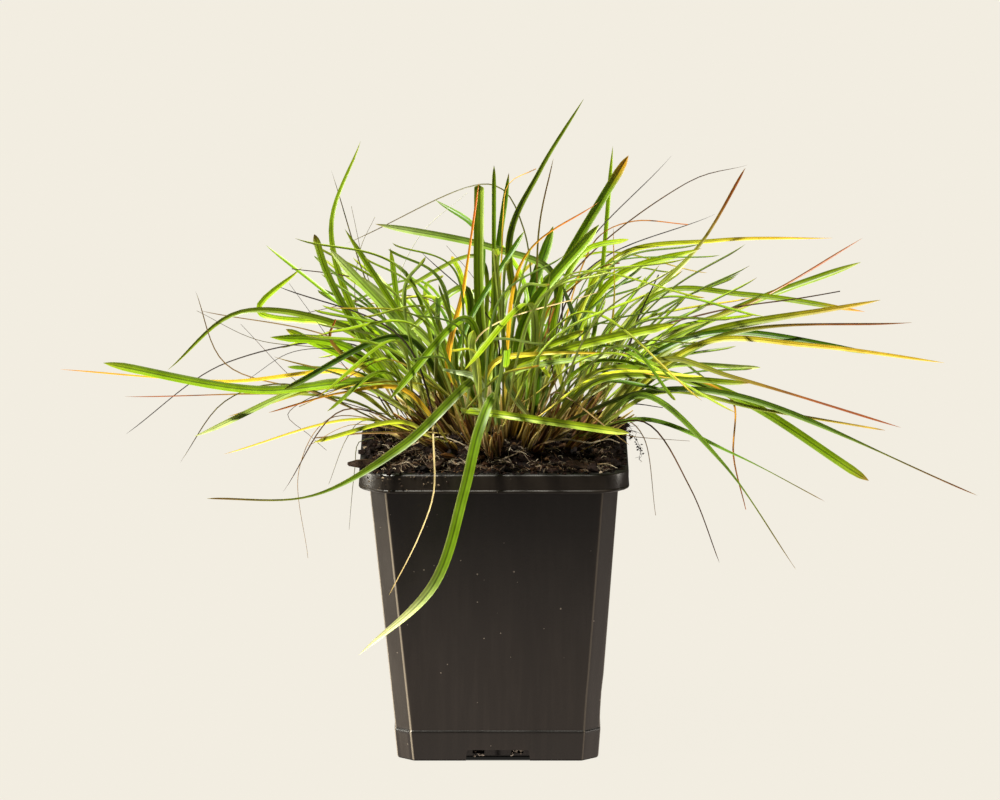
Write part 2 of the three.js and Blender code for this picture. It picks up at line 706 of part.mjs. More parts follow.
function leafBalls(points, width) {
  const places = smoothPath(points, SAMPLE_STEP);
  const shares = lengthShares(places);
  return places.map((place, i) => ({
    place,
    radius: 0.5 * width * widthShare(shares[i]),
    rooted: place.distanceTo(points[0]) < ROOT_ZONE,
  }));
}

function shootBalls(shoot) {
  return smoothPath([shoot.foot, shoot.top], 2)
    .map((place) => ({ place, radius: shoot.radius, rooted: true }));
}

// A leaf is kept only where it is clear of the pot and of every other bunch
function tryLeaf(bunch, shoot, width, waypoints, facing, fits) {
  const points = leafPoints(shoot, waypoints);
  const balls = leafBalls(points, width);
  for (const ball of balls) {
    if (meetsPot(ball.place) || meetsOther(ball, bunch.index) || !fits(ball)) {
      return false;
    }
  }
  takeRoom(balls, bunch.index);
  bunch.leaves.push({ points, width, facing });
  shoot.leafCount += 1;
  return true;
}

function anywhere() {
  return true;
}

// The loose leaves keep to the body of the tuft, and leave the pot's front and the sheaths in view
function insideTuft({ place, rooted }) {
  const height = place.z + VIEW_RISE * place.y;
  const across = Math.abs(place.x - TUFT_MIDDLE);
  const low = place.y < TUFT_FRONT && place.z < POT_CLEAR_TOP;
  const hides = !rooted && place.y < SHEATH_FRONT && height < SHEATH_TOP && across < SHEATH_HALF_WIDTH;
  return across < TUFT_HALF_WIDTH && height < TUFT_TOP && !low && !hides;
}

// A chosen leaf is moved back or forward until it is clear
function placeKeyLeaf(bunches, [index, width, ...waypoints]) {
  const bunch = bunches[index];
  const facing = FRONT.clone().normalize();
  facing.add(new THREE.Vector3(bunch.draw(-0.3, 0.3), 0, bunch.draw(-0.2, 0.4)));
  for (const shift of DEPTH_SHIFTS) {
    const move = new THREE.Vector3(0, shift, -VIEW_RISE * shift);
    for (const shoot of bunch.shoots) {
      const moved = waypoints.map((place) => vector(place).add(move));
      if (tryLeaf(bunch, shoot, width, moved, facing, anywhere)) {
        return true;
      }
    }
  }
  return false;
}

function placeLooseLeaf(bunch) {
  const draw = bunch.draw;
  for (let i = 0; i < TRIES; i += 1) {
    const shoot = bunch.shoots[Math.floor(draw(0, bunch.shoots.length - 0.001))];
    const spread = OUTER_FAN + (INNER_FAN - OUTER_FAN) * Math.max(0, 1 - bunch.share / FAN_SHARE);
    const turn = bunch.angle + degrees(draw(-spread, spread));
    const heading = new THREE.Vector3(Math.cos(turn), Math.sin(turn), 0);
    const across = new THREE.Vector3(-heading.y, heading.x, 0);
    const length = draw(...(bunch.green ? GREEN_LENGTH : DRY_LENGTH));
    const climb = degrees(draw(...CLIMB));
    const droop = degrees(draw(...DROOP));
    const width = draw(...(bunch.green ? GREEN_WIDTH : DRY_WIDTH));
    const bend = shoot.top.clone().addScaledVector(heading, 0.5 * length * Math.cos(climb));
    bend.addScaledVector(across, length * draw(-SIDEWAYS, SIDEWAYS));
    bend.z += 0.5 * length * Math.sin(climb);
    const tip = shoot.top.clone().addScaledVector(heading, length * Math.cos(climb - droop));
    tip.z += length * Math.sin(climb - droop);
    const facing = new THREE.Vector3(draw(-0.5, 0.5), draw(-0.9, 0.2), 1);
    if (tryLeaf(bunch, shoot, width, [bend, tip], facing, insideTuft)) {
      return true;
    }
  }
  return false;
}

function growTuft() {
  const bunches = [];
  for (let index = 0; index < GREEN_BUNCHES + DRY_ANGLES.length; index += 1) {
    bunches.push(makeBunch(index));
  }
  for (const bunch of bunches) {
    bunch.shoots.forEach((shoot) => takeRoom(shootBalls(shoot), bunch.index));
  }
  for (const leaf of KEY_LEAVES) {
    placeKeyLeaf(bunches, leaf);
  }
  for (let round = 0; round < FILL_ROUNDS; round += 1) {
    for (const bunch of bunches) {
      if (bunch.green || round < DRY_ROUNDS) {
        placeLooseLeaf(bunch);
      }
    }
  }
  return bunches;
}

function bunchSolid(bunch) {
  const shoots = bunch.shoots.map(shootSolid);
  const leaves = bunch.leaves.map(leafSolid);
  return largestPiece(fuse([stubSolid(bunch), ...shoots, ...leaves]));
}

// Nodes

function addNode(group, name, solid, colour, roughness) {
  const material = new THREE.MeshStandardMaterial({ color: colour, roughness, metalness: 0 });
  const mesh = new THREE.Mesh(toGeometry(solid), material);
  mesh.name = name;
  group.add(mesh);
}

const GREENS = ["#4f7a2a", "#3f6b2b", "#6a9133", "#5a8237"];
const STRAWS = ["#b08a4a", "#8a5f33", "#5b3d26"];

function numbered(name, number) {
  return `${name}_${String(number).padStart(2, "0")}`;
}

const group = new THREE.Group();
group.name = "potted_blue_moor_grass";
const bunches = growTuft();
addNode(group, "pot", makePot(), "#37322f", 0.5);
addNode(group, "potting_soil", makeSoil(bunches), "#2a2019", 0.95);
for (const bunch of bunches) {
  if (bunch.green) {
    const name = numbered("leaf_bunch", bunch.index + 1);
    addNode(group, name, bunchSolid(bunch), GREENS[bunch.index % GREENS.length], 0.5);
  } else {
    const number = bunch.index - GREEN_BUNCHES + 1;
    const name = numbered("dry_leaf_bunch", number);
    addNode(group, name, bunchSolid(bunch), STRAWS[number % STRAWS.length], 0.8);
  }
}

export default group;
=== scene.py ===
import math

import bmesh
import bpy
import numpy as np
from bpy.props import FloatProperty, FloatVectorProperty, IntProperty, PointerProperty
from mathutils import Matrix, Vector, noise


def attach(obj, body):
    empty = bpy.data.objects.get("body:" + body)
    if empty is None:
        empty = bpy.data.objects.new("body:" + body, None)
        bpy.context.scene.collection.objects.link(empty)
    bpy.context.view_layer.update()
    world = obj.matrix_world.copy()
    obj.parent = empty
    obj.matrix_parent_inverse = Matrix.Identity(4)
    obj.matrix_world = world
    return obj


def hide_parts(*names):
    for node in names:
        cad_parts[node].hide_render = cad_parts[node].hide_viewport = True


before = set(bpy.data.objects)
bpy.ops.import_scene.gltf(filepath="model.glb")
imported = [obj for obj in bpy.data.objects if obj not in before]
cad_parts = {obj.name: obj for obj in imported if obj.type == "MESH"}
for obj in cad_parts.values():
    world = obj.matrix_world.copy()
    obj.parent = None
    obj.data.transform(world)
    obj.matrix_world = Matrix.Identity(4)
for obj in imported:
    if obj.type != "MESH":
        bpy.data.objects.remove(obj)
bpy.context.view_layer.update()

bl_info = {
    "name": "Potted Blue Moor Grass",
    "version": (1, 0, 0),
    "blender": (4, 5, 0),
    "location": "3D View > Sidebar > Moor Grass",
    "description": "Dresses the solids of a potted tuft of blue moor grass",
    "category": "Object",
}

MM = 0.001
VIEW_PITCH = 10.8
VIEW_WIDTH = 336

# Pot, in millimetres
POT_HEIGHT = 100
RIM_SIDE = 90
RIM_CORNER = 12
SKIRT_DEPTH = 6.3
BODY_TOP_SIDE = 82.7
BODY_FOOT_SIDE = 66.5
BODY_CORNER = 5.4
WALL = 1.0
FOOT_BAND_HEIGHT = 10.3
FOOT_LEDGE = 0.4
CHANNEL_HEIGHT = 4.4
WELL_SIDE = 56
NOTCH_WIDTH = 22.2
NOTCH_HEIGHT = 3.9
NOTCH_DRAFT = 0.7
DRAIN_SPACING = 13
DRAIN_WIDTH = 4
DRAIN_SILL = 1.4
DRAIN_PLACES = (-DRAIN_SPACING / 2, DRAIN_SPACING / 2)
POT_LEAN = 1.3
POT_CREASE = 28
FEWEST_POT_FACES = 1000

# Soil
GAP = 0.3
SOIL_EDGE = 99.6
SOIL_MOUND = 3.6
MOUND_REACH = 34
BANK_HEIGHT = 1.9
BANK_FOOT = 33
SPILL_HALF = 44.4
SPILL_FRONT = -36
BANK_FRONT = -24
CRUMB_REACH = 38.5
PEAT_CREASE = 60
HOLLOW_PLACE = (13, -27)
HOLLOW_DEPTH = 1.6
HOLLOW_SPREAD = 50
HEAP_HEIGHT = 3
HEAP_REACH = 37
HEAP_SLOPE = 10
RIM_CRUMBS = [(41, 26, 4.2), (43, 33, 3), (41, 18, 3), (33, -40, 2.2), (-24, -40, 2.4), (4, -40, 2)]
CHIP_SIZE = (4.6, 1.5)
BARK_CHIPS = [
    ((-42, -33, 101.4), 13, 12, -4), ((-20, -35, 100.8), 11, 60, 12), ((28, -33, 100.6), 9, -35, -10),
]

# Tuft, grown by the same rule as the solids
CROWN = np.array([3.0, 4.0, 0.0])
CROWN_RADIUS = 28
GREEN_BUNCHES = 17
GOLDEN_ANGLE = 137.5
SHOOTS = 3
SHOOT_RADIUS = 1.5
SHOOT_LENGTH = (13, 19)
STUB_RADIUS = 3.7
STUB_TOP = 105
STUB_FOOT = 91
DRY_RING = 31
DRY_ANGLES = [6, 88, 164, 186, 236, 317]
DRY_SHOOTS = 2
DRY_SHOOT_RADIUS = 1.0
DRY_SHOOT_LENGTH = (5, 8)
DRY_STUB_RADIUS = 2.4
SHOOT_SPREAD = 0.45
SHOOT_SINK = 1.2
SHOOT_FLARE = 0.2
INNER_LEAN = 8
OUTER_LEAN = 46
NECK_WIDTH = 0.35
NECK_GROWTH = 3.2
TIP_START = 0.8
TIP_POWER = 2.2
LEAF_LEVELS = [0.93, 0.7, 0.46, 0.25]
FRONT = np.array([0.0, -1.0, 0.35])
SAMPLE_STEP = 2.5
CELL = 5
CLEARANCE = 0.75
ROOT_ZONE = 20
POT_MARGIN = 1.6
RIM_MARGIN = 6
DEPTH_SHIFTS = [0, 3, -3, 6, -6, 9, -9, 12, -12]
VIEW_RISE = 0.19
FILL_ROUNDS = 9
DRY_ROUNDS = 4
TRIES = 40
GREEN_LENGTH = (45, 125)
GREEN_WIDTH = (1.6, 3.2)
DRY_LENGTH = (30, 95)
DRY_WIDTH = (0.8, 1.6)
CLIMB = (20, 78)
DROOP = (4, 34)
OUTER_FAN = 75
INNER_FAN = 138
FAN_SHARE = 0.6
SIDEWAYS = 0.07
TUFT_MIDDLE = 6
TUFT_HALF_WIDTH = 84
TUFT_TOP = 172
TUFT_FRONT = -34
POT_CLEAR_TOP = 112
SHEATH_FRONT = -12
SHEATH_TOP = 120
SHEATH_HALF_WIDTH = 42

# Seeds of the draws, to which a bunch adds its own number
BUNCH_SEED = 100
STUB_SEED = 300
STRIP_SEED = 500
BLADE_SEED = 700
FINISH_SEED = 41
CRUMB_SEED = 61
CHIP_SEED = 67
FIBRE_SEED = 71
WISP_SEED = 83
YOUNG_SEED = 89

# Leaves that make the tuft's outline, chosen one by one and set out in steps of 5 mm: bunch, width and
# finish, then the places each passes after it has left its sheath. Bunches from 17 on are the dry ones.
KEY_LEAVES = [
    # to the right
    (8, 2.5, "fading", [50, 20, 145], [70, 30, 165], [85, 35, 190]),
    (3, 2.0, "amber", [40, 25, 160], [75, 35, 165], [115, 40, 165]),
    (3, 2.5, "bright", [40, 15, 155], [70, 20, 165]),
    (16, 2.0, "rust", [50, 25, 130], [90, 35, 145], [125, 40, 165]),
    (16, 2.5, "green", [50, 35, 125], [85, 50, 140], [125, 50, 155]),
    (8, 2.0, "tipped", [55, 15, 150], [85, 15, 150], [125, 10, 145]),
    (13, 3.0, "amber", [60, 0, 135], [130, 5, 150]),
    (13, 2.0, "rust", [75, -10, 140], [140, -10, 145]),
    (5, 2.0, "deep", [70, -5, 140], [130, -15, 135]),
    (17, 1.5, "pale", [55, 10, 125], [90, 15, 125]),
    (13, 2.0, "gold", [70, -20, 140], [105, -25, 140], [150, -30, 135]),
    (10, 3.0, "green", [35, -20, 130], [75, -25, 125], [125, -30, 95]),
    (22, 2.0, "rust", [55, -25, 135], [80, -30, 130], [135, -40, 115]),
    (10, 2.0, "russet", [50, -30, 125], [80, -35, 125], [160, -55, 95]),
    (22, 1.5, "amber", [55, -30, 125], [90, -35, 120], [130, -45, 115]),
    (22, 1.5, "drawn", [50, -25, 115], [80, -35, 105], [110, -40, 90]),
    (22, 2.0, "drawn", [50, -35, 125], [75, -45, 105], [100, -55, 70]),
    (22, 1.0, "brown", [50, -30, 115], [65, -40, 95], [75, -45, 70]),
    (2, 3.0, "bright", [5, -20, 130], [25, -30, 140], [60, -40, 150]),
    (2, 2.5, "bright", [5, -15, 130], [30, -25, 145]),
    (7, 2.0, "yellow", [0, -30, 135], [15, -40, 140], [45, -40, 140]),
    (10, 2.0, "pale", [5, -30, 130], [40, -40, 140]),
    (10, 2.0, "green", [35, -35, 130], [85, -40, 130]),
    (7, 2.5, "lime", [-10, -35, 120], [5, -45, 120], [45, -50, 115]),
    # upright
    (0, 2.5, "tapering", [5, 0, 170], [15, -5, 195], [30, -5, 220]),
    (11, 2.5, "pale", [20, 25, 155], [0, 20, 165], [-40, 10, 175]),
    (1, 3.5, "shorn", [-5, 5, 150], [-5, 0, 190]),
    (6, 1.5, "green", [0, 15, 150], [0, 10, 195]),
    (6, 2.0, "deep", [0, 25, 150], [5, 25, 190]),
    (0, 3.0, "tipped", [15, 5, 145], [25, 5, 165], [45, 0, 200]),
    (2, 3.5, "green", [10, -10, 145], [35, -20, 180]),
    (8, 1.5, "green", [35, 15, 145], [40, 20, 200]),
    (3, 1.5, "olive", [15, 20, 170], [20, 25, 195]),
    (4, 2.0, "deep", [-10, 0, 140], [10, -5, 175]),
    (5, 2.0, "bright", [20, -10, 145], [30, -15, 170], [45, -20, 175]),
    (11, 3.5, "deep", [10, 30, 135], [20, 35, 170]),
    (7, 2.0, "bright", [0, -20, 150], [0, -25, 165]),
    (1, 2.0, "deep", [-5, 20, 145], [-5, 20, 170], [-20, 30, 180]),
    (6, 1.5, "green", [-5, 30, 160], [-35, 40, 145]),
    (1, 2.5, "green", [-10, 0, 155], [-30, -5, 140]),
    (9, 2.0, "green", [-30, 15, 135], [-35, 20, 165]),
    (9, 2.5, "tapering", [-40, 20, 130], [-55, 25, 170], [-45, 30, 200]),
    (12, 2.5, "green", [-35, -5, 125], [-55, -10, 160], [-60, -10, 175]),
    (4, 3.0, "pale", [-20, -5, 130], [-55, -10, 170]),
    (4, 2.0, "green", [-25, 0, 135], [-50, 0, 175]),
    (1, 3.0, "pale", [-15, 0, 130], [-45, -5, 160]),
    # to the left
    (12, 3.0, "green", [-35, -15, 125], [-80, -25, 125], [-130, -30, 135]),
    (9, 2.5, "tapering", [-40, 10, 135], [-85, 10, 145], [-110, 10, 125]),
    (14, 2.0, "bright", [-40, 30, 135], [-80, 40, 140], [-65, 40, 155]),
    (12, 3.0, "bright", [-50, 0, 135], [-75, -10, 140]),
    (9, 2.5, "bright", [-40, 5, 125], [-70, 5, 140]),
    (4, 2.0, "deep", [-30, -10, 140], [-70, -25, 125]),
    (7, 2.5, "bright", [-5, -20, 140], [-10, -30, 150], [-35, -45, 125]),
    (7, 2.0, "orange", [-15, -20, 130], [-10, -25, 160], [-5, -25, 195]),
    (7, 3.0, "drawn", [-5, -30, 130], [-30, -45, 110], [-60, -55, 95], [-95, -60, 95]),
    (15, 3.5, "silver", [0, -35, 125], [-5, -45, 115], [-10, -50, 95], [-20, -55, 65], [-45, -50, 40]),
    (21, 1.0, "cream", [-20, -35, 115], [-20, -45, 110], [-20, -50, 95], [-25, -50, 80], [-35, -50, 60]),
    (20, 1.5, "yellow", [-45, 0, 125], [-90, -10, 125], [-145, -15, 130]),
    (12, 2.0, "pale", [-50, -10, 125], [-100, -30, 110]),
    (20, 1.5, "amber", [-50, 5, 120], [-90, 5, 110]),
    (21, 1.0, "gold", [-45, -25, 115], [-90, -35, 105]),
    (20, 1.0, "rust", [-50, 10, 115], [-125, 15, 115]),
    (19, 1.0, "black", [-45, 25, 130], [-90, 25, 125], [-125, 25, 100]),
    (21, 1.5, "orange", [-30, -25, 125], [-50, -30, 125], [-75, -40, 120]),
    (21, 1.5, "lime", [-30, -30, 115], [-60, -40, 110]),
    # thin dry blades
    (9, 1.0, "olive", [-40, 25, 145], [-55, 30, 190]),
    (11, 1.0, "olive", [10, 30, 170], [0, 30, 185], [-50, 30, 165]),
    (6, 1.0, "black", [0, 10, 140], [-25, 15, 165]),
    (8, 1.0, "black", [25, 20, 155], [60, 30, 195]),
    (5, 1.0, "brown", [20, 0, 150], [65, 5, 190], [85, 10, 195]),
    (3, 1.0, "black", [30, 25, 155], [75, 30, 175]),
    (2, 1.5, "orange", [10, 0, 165], [35, -5, 185]),
    (8, 1.0, "yellow", [40, 5, 145], [40, 5, 175]),
    (20, 1.0, "tan", [-60, -5, 120], [-90, -5, 130], [-100, -5, 155]),
    (19, 1.0, "tan", [-50, 30, 130], [-100, 40, 140]),
    (20, 1.0, "olive", [-70, -15, 125], [-90, -20, 120], [-105, -25, 100]),
    (21, 1.0, "brown", [-50, -35, 120], [-70, -50, 95]),
    (10, 1.0, "tan", [20, -30, 125], [45, -45, 110]),
    (7, 1.0, "cream", [-5, -35, 145], [35, -35, 160]),
]

# Dead wisps too fine for the solids, read off the view: thickness and finish, then places as
# across, height in the view and depth
WISPS = [
    (0.45, "olive", [-20, 112, 8], [-50, 130, 10], [-80, 135, 10], [-100, 145, 10]),
    (0.4, "brown", [-22, 106, 4], [-55, 115, 5], [-65, 120, 5], [-85, 140, 0]),
    (0.4, "black", [-24, 108, 12], [-50, 125, 15], [-56, 136, 15], [-69, 154, 15]),
    (0.5, "black", [-18, 110, 0], [-45, 130, 0], [-67, 131, 0], [-83, 121, -5]),
    (0.4, "tan", [-30, 106, -14], [-55, 108, -20], [-65, 91, -30], [-62, 62, -35]),
    (0.4, "olive", [-26, 104, -16], [-44, 108, -25], [-49, 102, -30], [-55, 87, -35]),
    (0.35, "olive", [-40, 102, 8], [-45.6, 100, 9], [-47, 92, 10], [-48, 82, 10], [-49, 71, 10]),
    (0.45, "brown", [-24, 108, -8], [-50, 118, -10], [-69, 110, -15], [-62, 103, -20], [-56, 98, -20]),
    (1.0, "tan", [-22, 104, -12], [-31, 104, -16], [-44, 104, -20], [-60, 102, -24]),
    (0.5, "straw", [-16, 103, -14], [-30, 104, -18], [-48, 106, -22], [-62, 99, -26]),
    (2.2, "rust", [-40, 122, -3], [-46, 127, -5], [-51, 130, -8], [-55, 136, -8], [-53, 142, -8]),
    (0.7, "brown", [-30, 140, 12], [-45, 155, 10], [-52, 157, 10], [-68, 159, 10]),
    (0.4, "silvery", [-16, 115, 16], [-30, 138, 20], [-33, 151, 20], [-25, 170, 20], [-9, 184, 20]),
    (0.4, "olive", [-28, 118, 10], [-46, 145, 10], [-45, 165, 10], [-40, 176, 10]),
    (0.4, "olive", [-24, 118, 14], [-38, 145, 15], [-43, 158, 15], [-48, 180, 15]),
    (0.4, "brown", [6, 120, 10], [0, 145, 10], [-8, 157, 10], [-16, 167, 10]),
    (0.6, "yellow", [2, 150, 12], [3, 175, 11], [5, 187, 10], [14, 192, 10]),
    (1.3, "rust", [8, 112, -14], [12, 128, -18], [16, 134, -20], [20, 145, -20]),
    (1.3, "orange", [12, 120, -5], [18, 145, -5], [26, 152, -5], [35, 159, -5], [42, 161, -5]),
    (0.6, "orange", [20, 125, 5], [30, 160, 5], [36, 170, 5], [47, 175, 5], [65, 174, 5]),
    (0.6, "brown", [50, 138, 0], [80, 146, 0], [102, 149, 0], [116, 151, 0]),
    (1.0, "orange", [55, 122, -20], [72, 120, -25], [80, 114, -25], [80, 96, -28], [84, 78, -30]),
    (0.5, "tan", [32, 106, -10], [44, 108, -15], [50, 102, -20], [54, 76, -25]),
    (1.2, "black", [30, 112, 0], [44, 130, 0], [48, 142, 0], [55, 157, 0]),
    (0.8, "black", [24, 105, 14], [36, 110, 15], [46, 113, 15], [57, 112, 15]),
    (0.4, "tan", [30, 103, 10], [38, 104, 10], [48, 102, 10], [66, 101, 10]),
    (0.7, "rust", [-8, 110, -12], [-20, 120, -15], [-35, 128, -15], [-50, 122, -20], [-58, 117, -20]),
    (3.4, "underside", [-4, 112, -31], [-4.5, 119, -33], [-7, 123, -34], [-12, 123.5, -34], [-17, 125, -33]),
    (0.8, "amber", [-8, 108, -14], [-18, 118, -18], [-30, 121, -20], [-48, 119, -22], [-65, 112, -25]),
]

# Finishes of leaves: colour at the root, in the middle and at the tip, and the share where the tip's begins
TONES = {
    "green": ("#b3a850", "#708c06", "#88981a", 0.86),
    "deep": ("#94903a", "#476904", "#62780a", 0.88),
    "bright": ("#c6bc54", "#86a608", "#9cae14", 0.88),
    "lime": ("#cec462", "#a8bc18", "#c2c634", 0.8),
    "pale": ("#b0a864", "#86a440", "#b4c87c", 0.75),
    "drawn": ("#8f9a38", "#6a8c10", "#6e5420", 0.6),
    "tapering": ("#a3a94a", "#6c8a0e", "#7d901c", 0.86),
    "shorn": ("#a3a94a", "#5f7c0c", "#6e8c18", 0.86),
    "silver": ("#78982a", "#66880e", "#dcdfae", 0.62),
    "tipped": ("#a3a94a", "#6f8e10", "#cf9422", 0.84),
    "gold": ("#90962e", "#9aa21c", "#d0b534", 0.35),
    "amber": ("#98a23c", "#7f9010", "#bfa22c", 0.55),
    "fading": ("#aab468", "#b4bf48", "#96501a", 0.5),
    "rust": ("#98a040", "#82901a", "#9a531c", 0.4),
    "russet": ("#858f38", "#547612", "#6e3a16", 0.62),
    "orange": ("#b8a83a", "#d4a41c", "#b0621c", 0.5),
    "yellow": ("#b5a83e", "#d0b92c", "#c48a26", 0.6),
    "straw": ("#ab9856", "#c2aa62", "#94703a", 0.7),
    "cream": ("#b5a676", "#d9cda0", "#b3a070", 0.7),
    "tan": ("#86693e", "#9c7a4a", "#7a5a34", 0.6),
    "olive": ("#6b6830", "#5a5a20", "#4a3a1e", 0.5),
    "brown": ("#674a28", "#4e3218", "#352010", 0.5),
    "underside": ("#cfdcae", "#e6efd2", "#b9cf8c", 0.5),
    "silvery": ("#8f8f78", "#a8a892", "#b8b8a6", 0.5),
    "black": ("#3e3020", "#261c15", "#1e1510", 0.5),
}
LIVING = ("green", "deep", "bright", "lime", "pale", "silver", "tipped", "amber", "rust", "russet", "gold",
          "drawn", "tapering", "shorn")
GREEN_MIX = ["green"] * 8 + ["deep"] * 7 + ["bright"] * 5 + ["pale", "pale", "lime", "amber"]
DRY_MIX = ["tan", "straw", "brown", "olive", "black", "brown", "rust", "cream"]


class PotSettings(bpy.types.PropertyGroup):
    colour: FloatVectorProperty(
        name="Colour", description="Colour of the moulded plastic", subtype="COLOR",
        size=3, min=0, max=1, default=(0.0092, 0.0063, 0.0042))
    sheen: FloatProperty(
        name="Roughness", description="Roughness of the plastic's skin", subtype="FACTOR",
        min=0, max=1, default=0.34)
    speckle: FloatProperty(
        name="Specks", description="How far light specks of dust show", subtype="FACTOR",
        min=0, max=1, default=0.55)
    dent: FloatProperty(
        name="Dent", description="Depth of the dent low in the right wall", unit="LENGTH",
        min=0, max=0.003, default=0.0009)
    lean: FloatProperty(
        name="Lean", description="How far the foot stands to the right of the rim", unit="LENGTH",
        min=-0.004, max=0.004, default=POT_LEAN * MM)


class SoilSettings(bpy.types.PropertyGroup):
    crumbs: IntProperty(
        name="Crumbs", description="Number of loose crumbs on the peat", min=0, max=3000, default=2400)
    fibres: IntProperty(
        name="Fibres", description="Number of root hairs and fibres on the peat", min=0, max=800, default=420)


class LeafSettings(bpy.types.PropertyGroup):
    thickness: FloatProperty(
        name="Thickness", description="Thickness of a blade between its veins", unit="LENGTH",
        min=0.0001, max=0.001, default=0.00034)
    channel: FloatProperty(
        name="Channel", description="Depth of a blade's channel as a share of its half width",
        subtype="FACTOR", min=0, max=1, default=0.36)
    gloss: FloatProperty(
        name="Roughness", description="Roughness of a green blade's skin", subtype="FACTOR",
        min=0, max=1, default=0.38)
    old_sheaths: IntProperty(
        name="Old sheaths", description="Papery old sheaths round each green bunch",
        min=0, max=20, default=12)


class StageSettings(bpy.types.PropertyGroup):
    colour: FloatVectorProperty(
        name="Backdrop", description="Colour of the floor and the air behind", subtype="COLOR",
        size=3, min=0, max=1, default=(0.888, 0.847, 0.753))
    scale: FloatProperty(
        name="Frame width", description="Width of the object's plane that the camera takes in", unit="LENGTH",
        min=0.1, max=2, default=VIEW_WIDTH * MM)
    pitch: FloatProperty(
        name="Pitch", description="How far the camera looks down", subtype="ANGLE",
        min=0, max=1.5, default=math.radians(VIEW_PITCH))


# Small helpers

FIRST_STATE = 7919
STATE_FACTOR = 16807
STATE_RANGE = 2147483647


def seeded_draws(seed):
    """Even random draws that are the same on every run."""
    state = FIRST_STATE * (seed + 11)

    def draw(low, high):
        nonlocal state
        state = state * STATE_FACTOR % STATE_RANGE
        return low + (high - low) * state / STATE_RANGE

    draw(0, 1)
    draw(0, 1)
    return draw


def pick(draw, count):
    """A whole number from 0 to one less than the count."""
    return math.floor(draw(0, count - 0.001))


def place_of(x, y, z):
    return np.array([x, y, z], dtype=float)


def length_of(way):
    return math.sqrt(float(way @ way))


def unit(way):
    return way / length_of(way)


def level_way(turn):
    return place_of(math.cos(turn), math.sin(turn), 0)


def way_at(places, index):
    """The way that a path runs at one of its places."""
    return unit(places[min(len(places) - 1, index + 1)] - places[max(0, index - 1)])


def rounded(value):
    return math.floor(value + 0.5)


def linear(hex_colour):
    """Linear colour of a six-figure sRGB one."""
    parts = [int(hex_colour[i:i + 2], 16) / 255 for i in (1, 3, 5)]
    return np.array([(c / 12.92) if c <= 0.04045 else ((c + 0.055) / 1.055) ** 2.4 for c in parts])


def blend(a, b, share):
    return a + (b - a) * min(1.0, max(0.0, share))


def between(colours, share):
    """A colour between two sRGB ones."""
    return blend(linear(colours[0]), linear(colours[1]), share)


def ramp(value, low, high):
    share = min(1.0, max(0.0, (value - low) / (high - low)))
    return share * share * (3 - 2 * share)


# Meshes

BATCH_SIZE = 1500


def new_mesh():
    """An empty mesh with the layers that every dressed piece has."""
    mesh = bmesh.new()
    mesh.verts.layers.float_color.new("tint")
    mesh.loops.layers.uv.new("along")
    return mesh


class Pile:
    """Batches of small parts, poured together at the end, which keeps the building quick."""

    def __init__(self):
        self.mesh = new_mesh()
        self.batch = new_mesh()

    def open(self):
        if len(self.batch.verts) > BATCH_SIZE:
            self.pour()
        return self.batch

    def pour(self):
        data = bpy.data.meshes.new("batch")
        self.batch.to_mesh(data)
        self.batch.free()
        self.mesh.from_mesh(data)
        bpy.data.meshes.remove(data)
        self.batch = new_mesh()
        return self.mesh


def new_object(name, mesh):
    """An object in the scene that takes the mesh over."""
    data = bpy.data.meshes.new(name)
    mesh.to_mesh(data)
    mesh.free()
    made = bpy.data.objects.new(name, data)
    bpy.context.scene.collection.objects.link(made)
    return made


def extrude_rim(mesh, edges):
    """Draw the edges out once more, and give the new edges and corners."""
    made = bmesh.ops.extrude_edge_only(mesh, edges=edges)["geom"]
    fresh = [part for part in made if isinstance(part, bmesh.types.BMEdge)]
    corners = [part for part in made if isinstance(part, bmesh.types.BMVert)]
    return fresh, corners


def add_strand(mesh, rings, tints):
    """A closed strand through rings of places that run anticlockwise when seen from ahead."""
    tint = mesh.verts.layers.float_color["tint"]
    along = mesh.loops.layers.uv["along"]
    rows = len(rings) - 1
    columns = len(rings[0])
    made = bmesh.ops.create_grid(mesh, x_segments=columns, y_segments=rows, size=1.0)["verts"]
    spot = {}
    for vert in made:
        column = rounded((vert.co.x + 1) / 2 * columns)
        row = rounded((vert.co.y + 1) / 2 * rows)
        spot[vert] = (column / columns, row / rows)
        vert.co = Vector(rings[row][column % columns]) * MM
        colour = tints[row][column % columns]
        vert[tint] = (colour[0], colour[1], colour[2], 1.0)
    for face in {face for vert in made for face in vert.link_faces}:
        for loop in face.loops:
            loop[along].uv = spot[loop.vert]
    bmesh.ops.remove_doubles(mesh, verts=made, dist=2e-6)
    rims = {edge for vert in made if vert.is_valid for edge in vert.link_edges if edge.is_boundary}
    bmesh.ops.holes_fill(mesh, edges=list(rims), sides=0)


def ring_round(centre, way, radius, count, wobble=None):
    """A ring of places round a centre, square to the way."""
    side = np.cross(place_of(0, 1, 0), way)
    if length_of(side) < 1e-3:
        side = np.cross(place_of(1, 0, 0), way)
    side = unit(side)
    rise = np.cross(way, side)
    ring = []
    for i in range(count):
        angle = i * 2 * math.pi / count
        reach = radius * (wobble[i % len(wobble)] if wobble else 1)
        ring.append(centre + side * (reach * math.cos(angle)) + rise * (reach * math.sin(angle)))
    return ring


def add_fibre(mesh, places, thick, thin, colour, tip_colour, sides=3):
    """A thin round strand that tapers from one thickness to another."""
    rings = []
    tints = []
    for index, place in enumerate(places):
        share = index / (len(places) - 1)
        radius = 0.5 * (thick + (thin - thick) * share)
        rings.append(ring_round(place, way_at(places, index), radius, sides))
        tints.append([blend(colour, tip_colour, share)] * sides)
    add_strand(mesh, rings, tints)


